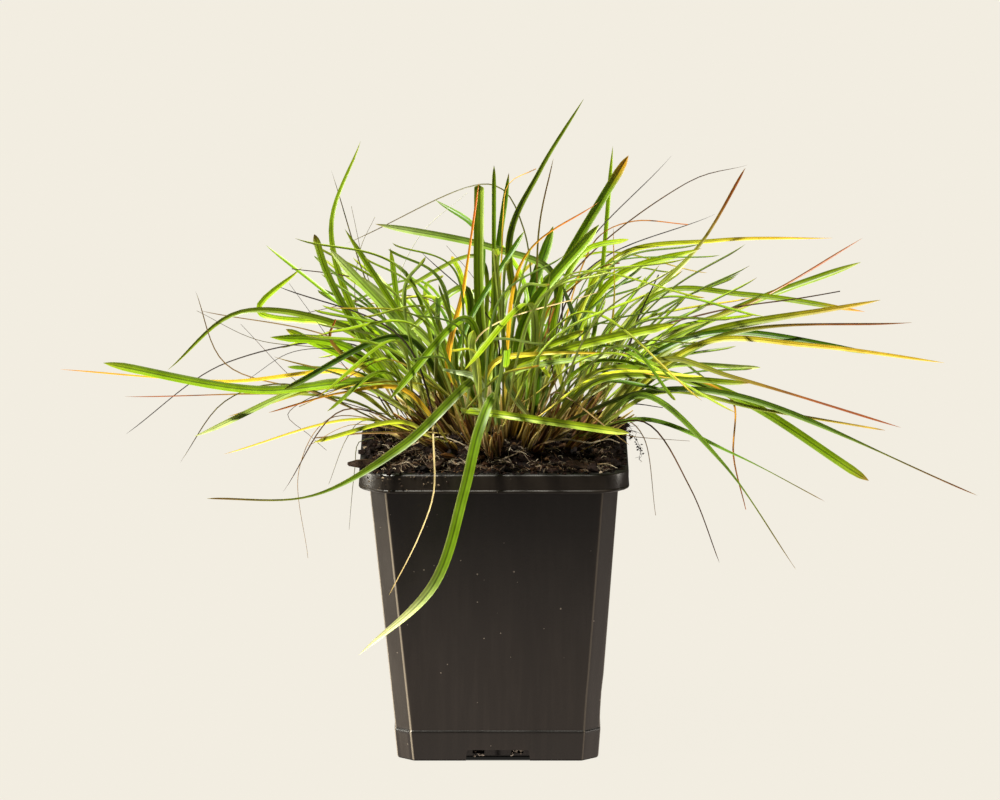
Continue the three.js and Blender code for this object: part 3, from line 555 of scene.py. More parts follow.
def finish_piece(mesh, name, materials, replaces=(), sharp=50):
    """Turn the mesh into a piece that rides on the pot's body."""
    piece = new_object(name, mesh)
    data = piece.data
    data.polygons.foreach_set("use_smooth", [True] * len(data.polygons))
    data.set_sharp_from_angle(angle=math.radians(sharp))
    for material in materials:
        data.materials.append(material)
    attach(piece, "root")
    if replaces:
        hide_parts(*replaces)
    return piece


# Growing the tuft

class Bunch:
    """Shoots that stand together on the crown, with the leaves that they bear."""

    def __init__(self, index):
        self.index = index
        self.green = index < GREEN_BUNCHES
        self.draw = seeded_draws(BUNCH_SEED + index)
        turn = index * GOLDEN_ANGLE if self.green else DRY_ANGLES[index - GREEN_BUNCHES]
        self.angle = math.radians(turn)
        reach = CROWN_RADIUS * math.sqrt((index + 0.5) / GREEN_BUNCHES) if self.green else DRY_RING
        self.outward = level_way(self.angle)
        self.share = reach / CROWN_RADIUS
        self.radius = STUB_RADIUS if self.green else DRY_STUB_RADIUS
        self.base = CROWN + self.outward * reach
        self.leaves = []
        self.shoots = []
        count = SHOOTS if self.green else DRY_SHOOTS
        for i in range(count):
            self.shoots.append(Shoot(self, i * 2 * math.pi / count + self.draw(-0.4, 0.4)))

    def node(self):
        if self.green:
            return f"leaf_bunch_{self.index + 1:02d}"
        return f"dry_leaf_bunch_{self.index - GREEN_BUNCHES + 1:02d}"


class Shoot:
    """A rolled sheath that leans outward, the more the further out its bunch stands."""

    def __init__(self, bunch, turn):
        aside = level_way(turn)
        self.foot = bunch.base + aside * (SHOOT_SPREAD * bunch.radius)
        self.foot[2] = STUB_TOP - SHOOT_SINK
        lean = math.tan(math.radians(INNER_LEAN + (OUTER_LEAN - INNER_LEAN) * bunch.share))
        self.way = unit(place_of(0, 0, 1) + bunch.outward * lean + aside * SHOOT_FLARE)
        length = bunch.draw(*(SHOOT_LENGTH if bunch.green else DRY_SHOOT_LENGTH))
        self.radius = SHOOT_RADIUS if bunch.green else DRY_SHOOT_RADIUS
        self.leaf_count = 0
        self.top = self.foot + self.way * length


def smooth_path(points, step):
    """Places along a smooth curve through the points, each stretch cut into steps of about that length."""
    places = [points[0]]
    last = len(points) - 1
    for i in range(last):
        b, c = points[i], points[i + 1]
        a = points[i - 1] if i > 0 else 2 * b - c
        d = points[i + 2] if i + 1 < last else 2 * c - b
        ab = math.sqrt(length_of(b - a))
        bc = math.sqrt(length_of(c - b))
        cd = math.sqrt(length_of(d - c))
        leave = bc * ((b - a) / ab - (c - a) / (ab + bc) + (c - b) / bc)
        reach = bc * ((c - b) / bc - (d - b) / (bc + cd) + (d - c) / cd)
        rise = c - b
        count = max(1, rounded(bc * bc / step))
        for k in range(1, count + 1):
            t = k / count
            places.append(b + leave * t + (3 * rise - 2 * leave - reach) * t * t
                          + (leave + reach - 2 * rise) * t * t * t)
    return places


def length_shares(places):
    """Share of the whole length reached at each place."""
    sums = [0.0]
    for before, after in zip(places, places[1:]):
        sums.append(sums[-1] + length_of(after - before))
    return [value / sums[-1] for value in sums]


def width_share(share, start=TIP_START):
    """Nearly even width, drawn in at the sheath, and a blunt tip."""
    neck = min(1.0, NECK_WIDTH + NECK_GROWTH * share)
    end = max(0.0, (share - start) / (1 - start))
    return neck * (1 - end ** TIP_POWER)


class Room:
    """The balls that leaves and shoots take up, sorted into cells."""

    def __init__(self):
        self.cells = {}

    def take(self, balls, bunch):
        for place, radius, rooted in balls:
            key = tuple(math.floor(value / CELL) for value in place)
            self.cells.setdefault(key, []).append((place, radius, rooted, bunch))

    def meets(self, ball, bunch):
        place, radius, rooted = ball
        i0, j0, k0 = (math.floor(value / CELL) for value in place)
        for i in (i0 - 1, i0, i0 + 1):
            for j in (j0 - 1, j0, j0 + 1):
                for k in (k0 - 1, k0, k0 + 1):
                    for other, other_radius, other_rooted, owner in self.cells.get((i, j, k), ()):
                        own = owner == bunch
                        reach = radius + other_radius + (0 if own else CLEARANCE)
                        x = place[0] - other[0]
                        y = place[1] - other[1]
                        z = place[2] - other[2]
                        near = x * x + y * y + z * z < reach * reach
                        if near and not (own and (rooted or other_rooted)):
                            return True
        return False


def leaf_points(shoot, waypoints):
    """Each new leaf leaves its shoot higher up than the one before."""
    level = LEAF_LEVELS[shoot.leaf_count % len(LEAF_LEVELS)]
    root = shoot.foot + (shoot.top - shoot.foot) * level
    aside = unit(waypoints[0] - root) * (0.5 * shoot.radius)
    return [root + aside, *waypoints]


def leaf_balls(points, width):
    places = smooth_path(points, SAMPLE_STEP)
    shares = length_shares(places)
    start = points[0]
    return [(tuple(map(float, place)), 0.5 * width * width_share(share), length_of(place - start) < ROOT_ZONE)
            for place, share in zip(places, shares)]


def meets_pot(place):
    across = max(abs(place[0]), abs(place[1]))
    return across < RIM_SIDE / 2 + POT_MARGIN and place[2] < POT_HEIGHT + RIM_MARGIN


def anywhere(ball):
    return True


def inside_tuft(ball):
    """The loose leaves keep to the body of the tuft, and leave the pot's front and the sheaths in view."""
    place, _, rooted = ball
    height = place[2] + VIEW_RISE * place[1]
    across = abs(place[0] - TUFT_MIDDLE)
    low = place[1] < TUFT_FRONT and place[2] < POT_CLEAR_TOP
    hides = not rooted and place[1] < SHEATH_FRONT and height < SHEATH_TOP and across < SHEATH_HALF_WIDTH
    return across < TUFT_HALF_WIDTH and height < TUFT_TOP and not low and not hides


def try_leaf(room, bunch, shoot, width, tone, waypoints, facing, fits):
    """A leaf is kept only where it is clear of the pot and of every other bunch."""
    points = leaf_points(shoot, waypoints)
    balls = leaf_balls(points, width)
    for ball in balls:
        if meets_pot(ball[0]) or room.meets(ball, bunch.index) or not fits(ball):
            return False
    room.take(balls, bunch.index)
    loose = fits is inside_tuft
    bunch.leaves.append({"points": points, "width": width, "facing": facing, "tone": tone, "loose": loose})
    shoot.leaf_count += 1
    return True


def place_key_leaf(room, bunches, leaf):
    """A chosen leaf is moved back or forward until it is clear."""
    index, width, tone, *waypoints = leaf
    bunch = bunches[index]
    facing = unit(FRONT)
    tilt = place_of(bunch.draw(-0.3, 0.3), 0, 0)
    tilt[2] = bunch.draw(-0.2, 0.4)
    for shift in DEPTH_SHIFTS:
        move = place_of(0, shift, -VIEW_RISE * shift)
        for shoot in bunch.shoots:
            moved = [place_of(*place) + move for place in waypoints]
            if try_leaf(room, bunch, shoot, width, tone, moved, facing + tilt, anywhere):
                return


def place_loose_leaf(room, bunch, tone):
    draw = bunch.draw
    for _ in range(TRIES):
        shoot = bunch.shoots[pick(draw, len(bunch.shoots))]
        spread = OUTER_FAN + (INNER_FAN - OUTER_FAN) * max(0, 1 - bunch.share / FAN_SHARE)
        turn = bunch.angle + math.radians(draw(-spread, spread))
        heading = level_way(turn)
        across = place_of(-heading[1], heading[0], 0)
        length = draw(*(GREEN_LENGTH if bunch.green else DRY_LENGTH))
        climb = math.radians(draw(*CLIMB))
        droop = math.radians(draw(*DROOP))
        width = draw(*(GREEN_WIDTH if bunch.green else DRY_WIDTH))
        bend = shoot.top + heading * (0.5 * length * math.cos(climb))
        bend = bend + across * (length * draw(-SIDEWAYS, SIDEWAYS))
        bend[2] += 0.5 * length * math.sin(climb)
        tip = shoot.top + heading * (length * math.cos(climb - droop))
        tip[2] += length * math.sin(climb - droop)
        facing = place_of(draw(-0.5, 0.5), 0, 1)
        facing[1] = draw(-0.9, 0.2)
        if try_leaf(room, bunch, shoot, width, tone, [bend, tip], facing, inside_tuft):
            return


def grow_tuft():
    """The bunches with their shoots and leaves, as in the solids."""
    room = Room()
    bunches = [Bunch(index) for index in range(GREEN_BUNCHES + len(DRY_ANGLES))]
    for bunch in bunches:
        for shoot in bunch.shoots:
            places = smooth_path([shoot.foot, shoot.top], 2)
            room.take([(tuple(map(float, place)), shoot.radius, True) for place in places], bunch.index)
    for leaf in KEY_LEAVES:
        place_key_leaf(room, bunches, leaf)
    finish = seeded_draws(FINISH_SEED)
    for number in range(FILL_ROUNDS):
        for bunch in bunches:
            mix = GREEN_MIX if bunch.green else DRY_MIX
            tone = mix[pick(finish, len(mix))]
            if bunch.green or number < DRY_ROUNDS:
                place_loose_leaf(room, bunch, tone)
    return bunches


# All the bunches, once they are grown
tuft = []


def bunches_of(green):
    """The green or the dry bunches, grown when they are first asked for."""
    if not tuft:
        tuft.extend(grow_tuft())
    return [bunch for bunch in tuft if bunch.green == green]


# Leaf meshes

BLADE_TOP = [1.0, 0.5, 0.0, -0.5]
BLADE_UNDER = [-1.0, -0.5, 0.0, 0.5]
KEEL = 0.22
LEAF_STEP = 3.4
TIP_STEPS = (0.4, 0.75)
BLADE_TIPS = (0.8, 0.96)
SHORN_TIP = 0.985
LEAST_WIDTH = 0.03
MOST_THICKNESS = 0.45
LOOSE_SLIM = (0.4, 0.9)
CROWDED_SIDE = 38
CROWDED_HEIGHT = 126
CROWDED_SLIM = 0.65
FLUSH = 1.04
# Painted shade at a blade's root, deep in the crown
PAINTED_ROOT_SHADE = 0.75
# Painted light and shade: one half of a blade lighter than the other
PAINTED_HALF_SHADE = 0.2
SCORCHED_SHARE = 0.4
SCORCHES = (0.8, 0.1)
SCORCH_COLOUR = "#8a5a2a"
UNDERSIDE_COLOUR = "#a3b868"
UNDERSIDE_SHARE = 0.42
SHRIVEL = (0.7, 0.4)


def blade_ring(place, side, up, half, channel, thickness):
    """One section of a blade: a shallow channel above and a keel below."""
    ring = []
    for across in BLADE_TOP:
        sink = channel * half * (1 - across * across)
        ring.append(place + side * (half * across) - up * sink)
    for across in BLADE_UNDER:
        sink = channel * half * (1 - across * across)
        depth = thickness * (1 - across ** 4) + KEEL * thickness * (1 - abs(across)) ** 3
        ring.append(place + side * (half * across) - up * (sink + depth))
    return ring


def blade_colour(tone, share, under, scorch):
    """Colour along a blade, darkened at its root by painted shade deep in the crown, paler and bluer beneath,
    with a scorched tip.
    """
    root, middle, tip, turn = TONES[tone]
    colour = between((root, middle), ramp(share, 0.02, 0.3))
    # Painted shade where the root stands deep in the crown
    colour = colour * (1 - PAINTED_ROOT_SHADE + PAINTED_ROOT_SHADE * ramp(share, -0.05, 0.1))
    colour = blend(colour, linear(tip), ramp(share, turn, min(1.0, turn + 0.4)))
    if tone in LIVING:
        colour = blend(colour, linear(SCORCH_COLOUR), scorch * ramp(share, 0.955, 1.0))
    if under and tone in LIVING:
        colour = blend(colour, linear(UNDERSIDE_COLOUR), UNDERSIDE_SHARE * (1 - ramp(share, turn, 1.0)))
    return colour


# Finishes whose blades narrow early: the shares where that begins and ends, and how much of the width goes
WITHERED = (0.35, 0.75, 0.6)
NARROWING = {
    "fading": WITHERED, "yellow": WITHERED, "orange": WITHERED, "rust": WITHERED,
    "russet": (0.55, 0.8, 0.75), "drawn": (0.4, 0.78, 0.78), "tapering": (0.35, 1.0, 0.6),
    "silver": (0.68, 1.0, 0.65), "amber": (0.4, 1.0, 0.55), "gold": (0.4, 1.0, 0.5),
}


def dressed_width(leaf, share, start):
    """Dead blades roll up and shrivel towards their tips, finer than their solids."""
    width = leaf["width"] * width_share(share, start)
    if leaf["tone"] in NARROWING:
        begin, end, loss = NARROWING[leaf["tone"]]
        return width * (1 - loss * ramp(share, begin, end))
    if leaf["tone"] in LIVING:
        return width
    return width * (SHRIVEL[0] - SHRIVEL[1] * share)


def slimness(leaf, tip, draw):
    """Loose leaves are dressed slimmer than their solids, most of all where they crowd at the upper right."""
    if not leaf["loose"]:
        return 1.0
    crowded = tip[0] > CROWDED_SIDE and tip[2] + VIEW_RISE * tip[1] > CROWDED_HEIGHT
    return draw(*LOOSE_SLIM) * (CROWDED_SLIM if crowded else 1.0)


def add_leaf(mesh, leaf, settings, draw):
    """A blade with its own tint, its own tip and one half lighter than the other, as painted light and shade.
    """
    places = smooth_path(leaf["points"], LEAF_STEP)
    end, tip = places[-2:]
    places[-1:] = [*(blend(end, tip, share) for share in TIP_STEPS), tip]
    shares = length_shares(places)
    flush = FLUSH + draw(-0.3, 0.3)
    warm = flush * np.array([1 + draw(-0.12, 0.14), 1.0, 1 + draw(-0.2, 0.2)])
    slim = slimness(leaf, tip, draw)
    scorch = SCORCHES[0] if draw(0, 1) < SCORCHED_SHARE else SCORCHES[1]
    start = draw(*BLADE_TIPS)
    if leaf["tone"] == "shorn":
        start = SHORN_TIP
    # Painted light and shade: which half is lighter is drawn at random
    contrast = PAINTED_HALF_SHADE if draw(0, 1) < 0.5 else -PAINTED_HALF_SHADE
    thickness = min(settings.thickness / MM, MOST_THICKNESS * leaf["width"])
    side = place_of(0, 0, 0)
    rings = []
    tints = []
    for index, (place, share) in enumerate(zip(places, shares)):
        way = way_at(places, index)
        side = np.cross(leaf["facing"], way) + side * 0.4
        side = unit(side - way * float(side @ way))
        half = 0.5 * slim * dressed_width(leaf, share, start)
        half = max(LEAST_WIDTH * leaf["width"], half) if index < len(places) - 1 else 0.0
        depth = thickness * min(1, half * 2.5)
        rings.append(blade_ring(place, side, np.cross(way, side), half, settings.channel, depth))
        over = blade_colour(leaf["tone"], share, False, scorch) * warm
        under = blade_colour(leaf["tone"], share, True, scorch) * warm
        shades = [over * (1 + contrast * across) for across in BLADE_TOP]
        tints.append(shades + [under * (1 + contrast * across) for across in BLADE_UNDER])
    add_strand(mesh, rings, tints)


# Sheaths, stubs and old strips round the bunches

SHEATH_LEVELS = 7
SHEATH_SIDES = 6
SHEATHS_PER_SHOOT = 3
# The sheaths' own browns at the foot, made darker in part as painted shade deep in the crown
SHEATH_FOOT = ("#2c1408", "#7e5428")
FRESH_MOUTH = ("#f0d890", "#c8aa48")
OLD_MOUTH = ("#6a3e1c", "#b0803e")
OLD_MOUTH_SHARE = 0.45
# Painted shade that darkens each sheath towards its foot
SHEATH_DARKNESS = (0.45, 1.1)
SHEATH_FOOT_SHADE = 0.93
STUB_SIDES = 12
STUB_SECTION = [(STUB_FOOT, 0.9), (99, 1.0), (102.5, 0.98), (104.3, 0.8), (105.2, 0.35)]
# The stubs' own dark brown, made near black in part as painted shade deep in the crown
STUB_COLOUR = "#1e1008"
STEM_COLOURS = ("#5a3c20", "#b89a62")
STRIP_SHARE = 0.72
STRIP_SINK = 3.5
DRY_BUNCH_STRIPS = 3


def sheath_colours(draw):
    """Brown at the foot, and straw, yellow-green or an old brown at the mouth."""
    low = between(SHEATH_FOOT, draw(0, 1))
    high = between(FRESH_MOUTH, draw(0, 1))
    if draw(0, 1) < OLD_MOUTH_SHARE:
        high = between(OLD_MOUTH, draw(0, 1))
    return low, high


def add_sheath(mesh, foot, top, radius, draw, bend=0.5):
    """A rolled papery sheath, thickest near its foot and drawn out to a slanting point."""
    low, high = sheath_colours(draw)
    dark = draw(*SHEATH_DARKNESS)
    way = unit(top - foot)
    bow = unit(np.cross(way, place_of(draw(-1, 1), draw(-1, 1), 0.2))) * draw(0.1, bend)
    ribs = [1 + draw(-0.14, 0.14) for _ in range(SHEATH_SIDES)]
    stripes = [dark ** 1.5 * (1 + 0.3 * math.cos(i * 2.4)) for i in range(SHEATH_SIDES)]
    rings = []
    tints = []
    for level in range(SHEATH_LEVELS + 1):
        share = level / SHEATH_LEVELS
        centre = foot + (top - foot) * share + bow * math.sin(math.pi * share)
        width = radius * (1.1 - 0.3 * share) * (1 - 0.7 * ramp(share, 0.7, 1.0))
        rings.append(ring_round(centre, way, width, SHEATH_SIDES, ribs))
        # Painted shade, darker towards the foot deep in the crown
        shade = blend(low, high, 1.3 * share) * (1 - SHEATH_FOOT_SHADE * ramp(0.5 - share, 0, 0.5))
        tints.append([shade * stripe for stripe in stripes])
    add_strand(mesh, rings, tints)


def add_shoot(mesh, shoot, draw):
    """A tiller: slender sheaths that lie together and part towards the top."""
    length = length_of(shoot.top - shoot.foot)
    turn = draw(0, 6.28)
    for i in range(SHEATHS_PER_SHOOT):
        aside = level_way(turn + i * 2.1) * shoot.radius
        foot = shoot.foot - shoot.way * 1.5 + aside * 0.4
        top = shoot.foot + shoot.way * (length * draw(0.7, 1.12)) + aside * draw(0.5, 1.0)
        add_sheath(mesh, foot, top, shoot.radius * draw(0.45, 0.8), draw)


def add_stub(mesh, bunch):
    """The knot of old leaf bases that the shoots rise from."""
    draw = seeded_draws(STUB_SEED + bunch.index)
    up = place_of(0, 0, 1)
    ribs = [1 + draw(-0.18, 0.12) for _ in range(STUB_SIDES)]
    shades = [linear(STUB_COLOUR) * (0.8 + 0.5 * (i % 3)) for i in range(STUB_SIDES)]
    rings = []
    for level, width in STUB_SECTION:
        centre = place_of(bunch.base[0], bunch.base[1], level)
        rings.append(ring_round(centre, up, bunch.radius * width, STUB_SIDES, ribs))
    add_strand(mesh, rings, [shades] * len(rings))


def add_old_sheaths(mesh, bunch, count):
    """Papery strips, fibres and broken stems that lean out round a bunch."""
    draw = seeded_draws(STRIP_SEED + bunch.index)
    for _ in range(count):
        aside = level_way(draw(0, 2 * math.pi))
        foot = bunch.base + aside * (bunch.radius * draw(0.5, 1.05))
        foot[2] = STUB_TOP - STRIP_SINK
        lean = math.tan(math.radians(10 + 44 * bunch.share + draw(-10, 14)))
        way = unit(place_of(0, 0, 1) + bunch.outward * lean + aside * draw(0.05, 0.4))
        top = foot + way * draw(9, 23)
        if draw(0, 1) < STRIP_SHARE:
            add_sheath(mesh, foot, top, draw(0.4, 0.95), draw, 1.2)
        else:
            colour = between(STEM_COLOURS, draw(0, 1))
            bend = (foot + top) / 2 + aside * draw(-1.5, 1.5)
            path = smooth_path([foot, bend, top], 2.5)
            add_fibre(mesh, path, draw(0.35, 0.7), 0.12, colour, colour * 1.2, 4)


def bunch_piece(bunch, settings, materials):
    """The dressed bunch, which stands for its solid."""
    pile = Pile()
    draw = seeded_draws(BLADE_SEED + bunch.index)
    for leaf in bunch.leaves:
        add_leaf(pile.open(), leaf, settings, draw)
    leaf_faces = len(pile.pour().faces)
    add_stub(pile.open(), bunch)
    for shoot in bunch.shoots:
        add_shoot(pile.open(), shoot, draw)
    add_old_sheaths(pile.open(), bunch, settings.old_sheaths if bunch.green else DRY_BUNCH_STRIPS)
    mesh = pile.pour()
    mesh.faces.ensure_lookup_table()
    for index, face in enumerate(mesh.faces):
        face.material_index = 0 if index < leaf_faces else 1
    name = bunch.node().replace("bunch", "tuft")
    return finish_piece(mesh, name, materials, [bunch.node()])


# Young shoots and dead wisps

YOUNG_SHOOTS = 34
YOUNG_REACH = 14
YOUNG_TONES = ("green", "bright", "lime", "deep")
THREAD = 0.6
BROAD_WISP = 2
WISP_STEP = 2.5
WISP_CHANNEL = 0.7
WISP_THICKNESS = 0.25


def young_shoots(settings, material):
    """Short young blades that close the middle of the crown."""
    pile = Pile()
    draw = seeded_draws(YOUNG_SEED)
    for _ in range(YOUNG_SHOOTS):
        aside = level_way(draw(0, 2 * math.pi))
        foot = CROWN + aside * draw(1, YOUNG_REACH)
        foot[2] = STUB_TOP - 1
        length = draw(14, 34)
        way = unit(place_of(0, 0, 1) + aside * draw(-0.15, 0.4))
        middle = foot + way * (0.5 * length) + aside * draw(-1.5, 1.5)
        tip = foot + way * length + aside * draw(0, 6)
        tone = YOUNG_TONES[pick(draw, len(YOUNG_TONES))]
        facing = place_of(draw(-1, 1), draw(-1, 1), 0.4)
        leaf = {"points": [foot, middle, tip], "width": draw(1.4, 2.2), "facing": facing, "tone": tone,
                "loose": False}
        add_leaf(pile.open(), leaf, settings, draw)
        add_sheath(pile.open(), foot, foot + way * draw(6, 12), draw(0.8, 1.3), draw)
    return finish_piece(pile.pour(), "young_shoots", [material])


def add_ribbon(mesh, places, width, colour, tip_colour, draw):
    """A dead blade that curls and twists along its length."""
    turn = draw(0, 6.28)
    twist = draw(-0.25, 0.25)
    if width > BROAD_WISP:
        turn = -0.5 * math.pi
        twist *= 0.2
    rings = []
    tints = []
    for index, place in enumerate(places):
        share = index / (len(places) - 1)
        way = way_at(places, index)
        side = unit(np.cross(level_way(turn + twist * index) + place_of(0, 0, 0.6), way))
        half = 0.5 * width * (0.5 + 2 * share if share < 0.25 else 1.25 - share)
        rings.append(blade_ring(place, side, np.cross(way, side), half, WISP_CHANNEL, WISP_THICKNESS))
        tints.append([blend(colour, tip_colour, share)] * len(rings[-1]))
    add_strand(mesh, rings, tints)


def wisp_piece(material):
    """Dead wisps as fine as threads, which hang among the leaves."""
    pitch = math.radians(VIEW_PITCH)
    pile = Pile()
    draw = seeded_draws(WISP_SEED)
    for thick, tone, *spots in WISPS:
        path = [place_of(x, y, (height - math.sin(pitch) * y) / math.cos(pitch)) for x, height, y in spots]
        path = [place + place_of(0, 0, draw(-0.5, 0.5)) for place in path]
        root, middle, tip, _ = TONES[tone]
        places = smooth_path(path, WISP_STEP)
        colour = between((middle, root), draw(0, 0.6))
        if thick < THREAD:
            add_fibre(pile.open(), places, thick, 0.3 * thick, colour, linear(tip), 4)
        else:
            add_ribbon(pile.open(), places, thick, colour, linear(tip), draw)
    return finish_piece(pile.pour(), "dry_wisps", [material])


# Pot mesh

CORNER_TURNS = 4
SIDE_STEPS = 8
WALL_LEVELS = 14
EDGE_SUPPORT = 0.7
DIAGONAL = math.sqrt(0.5)
EIGHTH_TURN = math.tan(math.pi / 8)
ROUNDEST = 0.94
SHARPEST = 0.12
FLOOR_CORNER = 2
MIDDLE_SIDE = 4
MIDDLE_CORNER = 0.5
BODY_BOW = 0.12
CUTTER_CORNER = 0.8
SKIRT_FOOT = POT_HEIGHT - SKIRT_DEPTH

# Round the foot and over its band: height, and how far outside the body's wall
FOOT_SECTION = [
    (CHANNEL_HEIGHT, -WALL), (0.3, 0.05 - WALL), (0, 0.35 - WALL), (0, FOOT_LEDGE - 0.9),
    (0.1, FOOT_LEDGE - 0.45), (0.45, FOOT_LEDGE - 0.1), (0.9, FOOT_LEDGE),
    (FOOT_BAND_HEIGHT - 1.0, FOOT_LEDGE), (FOOT_BAND_HEIGHT - 0.35, FOOT_LEDGE),
    (FOOT_BAND_HEIGHT - 0.05, FOOT_LEDGE - 0.08), (FOOT_BAND_HEIGHT + 0.3, 0.02),
    (FOOT_BAND_HEIGHT + 0.6, 0), (FOOT_BAND_HEIGHT + 1.6, 0),
]
# Under the rim, down the skirt's inside and up its face: height, side and corner
RIM_SECTION = [
    (POT_HEIGHT - WALL, RIM_SIDE - 2 * WALL, RIM_CORNER - WALL),
    (SKIRT_FOOT + 0.15, RIM_SIDE - 2 * WALL - 0.6, RIM_CORNER - WALL),
    (SKIRT_FOOT, RIM_SIDE - 2 * WALL + 0.3, RIM_CORNER - WALL),
    (SKIRT_FOOT, RIM_SIDE - 0.3, RIM_CORNER), (SKIRT_FOOT + 0.2, RIM_SIDE + 0.1, RIM_CORNER),
    (SKIRT_FOOT + 0.7, RIM_SIDE + 0.1, RIM_CORNER), (SKIRT_FOOT + 1.0, RIM_SIDE - 0.45, RIM_CORNER),
    (POT_HEIGHT - 1.1, RIM_SIDE - 0.2, RIM_CORNER), (POT_HEIGHT - 0.45, RIM_SIDE - 0.35, RIM_CORNER),
    (POT_HEIGHT - 0.1, RIM_SIDE - 0.95, RIM_CORNER - 0.2), (POT_HEIGHT, RIM_SIDE - 1.6, RIM_CORNER - 0.5),
]

# How light each part of the skin is next to the plain plastic: painted highlights, painted light, painted
# shade and a dusty rim top
# Painted highlights on the chamfers' rounded edges, stronger on the left, where the light comes from
HIGHLIGHT_SPOTS = (1, 2, 7, 8)
CORNER_SPOTS = 10
PAINTED_HIGHLIGHT_LEFT = 2.0
PAINTED_HIGHLIGHT_RIGHT = 1.25
# Painted shade that blackens the inside of the foot
PAINTED_SHADE_INSIDE_FOOT = 0.08
RIM_TOP_SHADE = 0.22
# Painted shade that dims the ledge's highlight
LEDGE_SHADE = 0.4
BAND_SHADE = 0.75
SKIRT_SHADE = 1.02
# Painted light: the left side lighter, as it faces the light
PAINTED_LIGHT_LEFT = 1.04
# Painted shade that darkens the wall's flats towards the rim, below the leaves and the rim
PAINTED_SHADE_UNDER_RIM = 0.6
UNDER_RIM_SHADE_LEVELS = (25, 85)

# The dent: where the wall takes part, then its middle and its spread as depth and height
DENT_SIDE = 30
DENT_LEVELS = (12, 40)
DENT_MIDDLE = (-12, 20.5)
DENT_SPREAD = (18, 4.5)


def square_ring(side, corner, bow, z):
    """One level of the pot: a square whose corners go from a soft chamfer to a rounding as bow goes to 1."""
    half = side / 2
    cut = corner * (1 - EIGHTH_TURN * ROUNDEST * bow)
    radius = corner * (SHARPEST + (1 - SHARPEST) * ROUNDEST * bow)
    flat = half - cut - EIGHTH_TURN * radius
    quarter = []
    for first, second in (((half - radius, flat), 0), ((flat, half - radius), 1)):
        for step in range(CORNER_TURNS):
            angle = math.pi / 4 * (second + step / (CORNER_TURNS - 1))
            quarter.append([first[0] + radius * math.cos(angle), first[1] + radius * math.sin(angle)])
        if second == 0:
            near = half - radius + radius * DIAGONAL
            far = flat + radius * DIAGONAL
            quarter += [[near + share * (far - near), far + share * (near - far)] for share in (0.2, 0.8)]
    support = min(EDGE_SUPPORT, 0.1 * flat)
    quarter.append([flat - support, half])
    quarter += [[flat - 2 * flat * step / SIDE_STEPS, half] for step in range(1, SIDE_STEPS)]
    quarter.append([support - flat, half])
    ring = []
    for cos, sin in ((1, 0), (0, 1), (-1, 0), (0, -1)):
        ring += [place_of(cos * x - sin * y, sin * x + cos * y, z) for x, y in quarter]
    return ring


def body_side(z):
    return BODY_FOOT_SIDE + (BODY_TOP_SIDE - BODY_FOOT_SIDE) * z / SKIRT_FOOT


def body_ring(z, offset):
    return square_ring(body_side(z) + 2 * offset, BODY_CORNER + 0.6 * offset, BODY_BOW, z)


def pot_rings():
    """The pot's whole skin, from the middle of its underside out, up, over the rim and down inside."""
    top = body_side(POT_HEIGHT)
    well = WELL_SIDE - 2 * WALL
    wall = POT_HEIGHT - WALL - FOOT_BAND_HEIGHT
    return [
        square_ring(MIDDLE_SIDE, MIDDLE_CORNER, 1, 0),
        square_ring(WELL_SIDE - 1.2, FLOOR_CORNER, 1, 0),
        square_ring(WELL_SIDE, FLOOR_CORNER, 1, 0.6),
        square_ring(WELL_SIDE, FLOOR_CORNER, 1, CHANNEL_HEIGHT),
        *(body_ring(z, offset) for z, offset in FOOT_SECTION),
        *(body_ring(FOOT_BAND_HEIGHT + wall * level / WALL_LEVELS, 0) for level in range(1, WALL_LEVELS + 1)),
        *(square_ring(side, corner, 1, z) for z, side, corner in RIM_SECTION),
        square_ring(top - WALL, BODY_CORNER + 1, 0.8, POT_HEIGHT),
        square_ring(top - 2 * WALL, BODY_CORNER, 0.6, POT_HEIGHT - 0.5),
        body_ring(POT_HEIGHT - 3, -WALL),
        body_ring(CHANNEL_HEIGHT + WALL, -WALL),
        square_ring(well, FLOOR_CORNER - 0.5, 1, CHANNEL_HEIGHT + WALL),
        square_ring(well, FLOOR_CORNER - 0.5, 1, WALL),
        square_ring(MIDDLE_SIDE, MIDDLE_CORNER, 1, WALL),
    ]


def add_cutter(name, size, centre, turn, shift, taper=0):
    """A block that cuts the pot's wall, drawn in and rounded towards its top."""
    mesh = bmesh.new()
    bmesh.ops.create_cube(mesh, size=1.0)
    bmesh.ops.scale(mesh, vec=Vector(size) * MM, verts=mesh.verts)
    for vert in mesh.verts:
        if vert.co.z > 0:
            vert.co.x -= math.copysign(taper * MM, vert.co.x)
    shoulders = [edge for edge in mesh.edges if min(vert.co.z for vert in edge.verts) > 0
                 and abs(edge.verts[0].co.x - edge.verts[1].co.x) < 1e-6]
    bmesh.ops.bevel(mesh, geom=shoulders, offset=CUTTER_CORNER * MM, segments=3, profile=0.5, affect="EDGES",
                    material=-1)
    bmesh.ops.translate(mesh, vec=Vector(centre) * MM, verts=mesh.verts)
    bmesh.ops.rotate(mesh, cent=(0, 0, 0), matrix=Matrix.Rotation(turn, 3, "Z"), verts=mesh.verts)
    bmesh.ops.translate(mesh, vec=(shift, 0, 0), verts=mesh.verts)
    return new_object(name, mesh)


